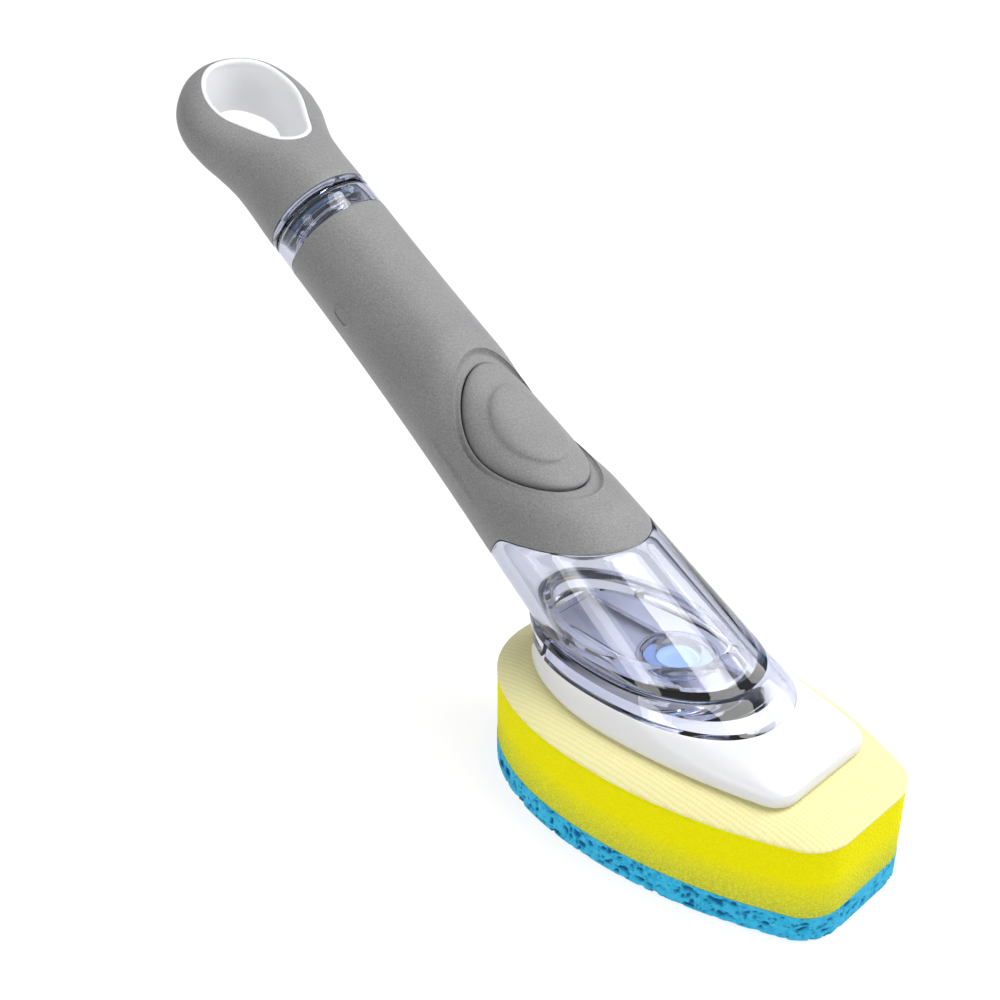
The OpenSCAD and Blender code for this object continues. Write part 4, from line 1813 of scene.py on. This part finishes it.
@dataclass
class Studio:
    """Pale floor, soft lights and the photograph's camera."""

    target: Triple = (-64.49, 5.10, 53.17)
    azimuth_deg: float = 44.53
    elevation_deg: float = 30.49
    distance: float = 390.9
    lens: float = 57.6
    floor_r: float = 12
    floor_z: float = -0.0002
    sky_strength: float = 0.39
    mirrored_strength: float = 0.62
    overhead: SoftBox = SoftBox("overhead", (0.38, 0.24, 1.15), (0.75, 0.75), 11.4)
    low_left: SoftBox = SoftBox("low_left", (0.0, -1.2, 0.56), (0.45, 0.5), 3.6)
    right: SoftBox = SoftBox("right", (0.5, 1.1, 0.7), (0.8, 0.5), 6)

    def camera(self) -> None:
        """Stands the camera where the photograph was taken from."""
        data = bpy.data.cameras.new("photo_camera")
        data.lens, data.sensor_width = self.lens, 36
        data.clip_start, data.clip_end = 0.01, 100
        eye = placed("photo_camera", data)
        az, el = math.radians(self.azimuth_deg), math.radians(self.elevation_deg)
        back = Vector((math.cos(el) * math.sin(az), -math.cos(el) * math.cos(az), math.sin(el)))
        eye.location = (Vector(self.target) + back * self.distance) * MM
        eye.rotation_euler = back.to_track_quat("Z", "Y").to_euler()
        bpy.context.scene.camera = eye

    def floor(self) -> None:
        """Lays a wide round floor just under the wand."""
        mesh = bmesh.new()
        bmesh.ops.create_circle(mesh, cap_ends=True, segments=96, radius=self.floor_r)
        bmesh.ops.translate(mesh, vec=(0, 0, self.floor_z), verts=mesh.verts)
        data = stored("floor", mesh)
        data.materials.append(PaleFloor().material())
        placed("floor", data)

    def sky(self) -> None:
        """Fills in with pale light, darker low down and brighter to mirrors and glass."""
        world = bpy.data.worlds.new("fill")
        bpy.context.scene.world = world
        bpy.context.scene.view_settings.view_transform = "Standard"
        world.use_nodes = True
        tree = world.node_tree
        where = tree.nodes.new("ShaderNodeTexCoord")
        height = tree.nodes.new("ShaderNodeSeparateXYZ")
        fade = tree.nodes.new("ShaderNodeValToRGB")
        rays = tree.nodes.new("ShaderNodeLightPath")
        power = tree.nodes.new("ShaderNodeMapRange")
        shine = tree.nodes["Background"]
        bar = fade.color_ramp.elements
        bar[0].position, bar[0].color = 0.05, (0.07, 0.11, 0.21, 1)
        bar[1].position, bar[1].color = 0.3, (1.0, 1.0, 1.0, 1)
        bar.new(0.14).color = (0.62, 0.64, 0.72, 1)
        power.inputs["To Min"].default_value = self.mirrored_strength
        power.inputs["To Max"].default_value = self.sky_strength
        for start, end in (
            (where.outputs["Generated"], height.inputs[0]),
            (height.outputs["Z"], fade.inputs["Fac"]),
            (fade.outputs["Color"], shine.inputs["Color"]),
            (rays.outputs["Is Diffuse Ray"], power.inputs["Value"]),
            (power.outputs["Result"], shine.inputs["Strength"]),
        ):
            tree.links.new(start, end)

    def card(self) -> None:
        """Keeps the left lamp off the soft grip, as a black card beside it would."""
        lit = bpy.data.collections.new("lit_from_the_left")
        for thing in bpy.context.scene.objects:
            if thing.type == "MESH" and SoftGrip.__name__ not in thing.data.materials:
                lit.objects.link(thing)
        bpy.data.objects[self.low_left.name].light_linking.receiver_collection = lit

    def build(self) -> None:
        """Sets up the whole studio."""
        self.camera()
        self.floor()
        self.sky()
        for lamp in (self.overhead, self.low_left, self.right):
            lamp.hang()


def main() -> None:
    """Builds the studio and then the wand, sub-assembly by sub-assembly."""
    logging.basicConfig(level=logging.INFO, format="%(message)s")
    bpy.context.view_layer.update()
    studio = Studio()
    studio.build()
    for part in (Refill(), Foot(), Handle(), ThumbButton(), ScrewCap()):
        log.info("building %s", type(part).__name__)
        part.build()
    studio.card()


if __name__ == "__main__":
    main()
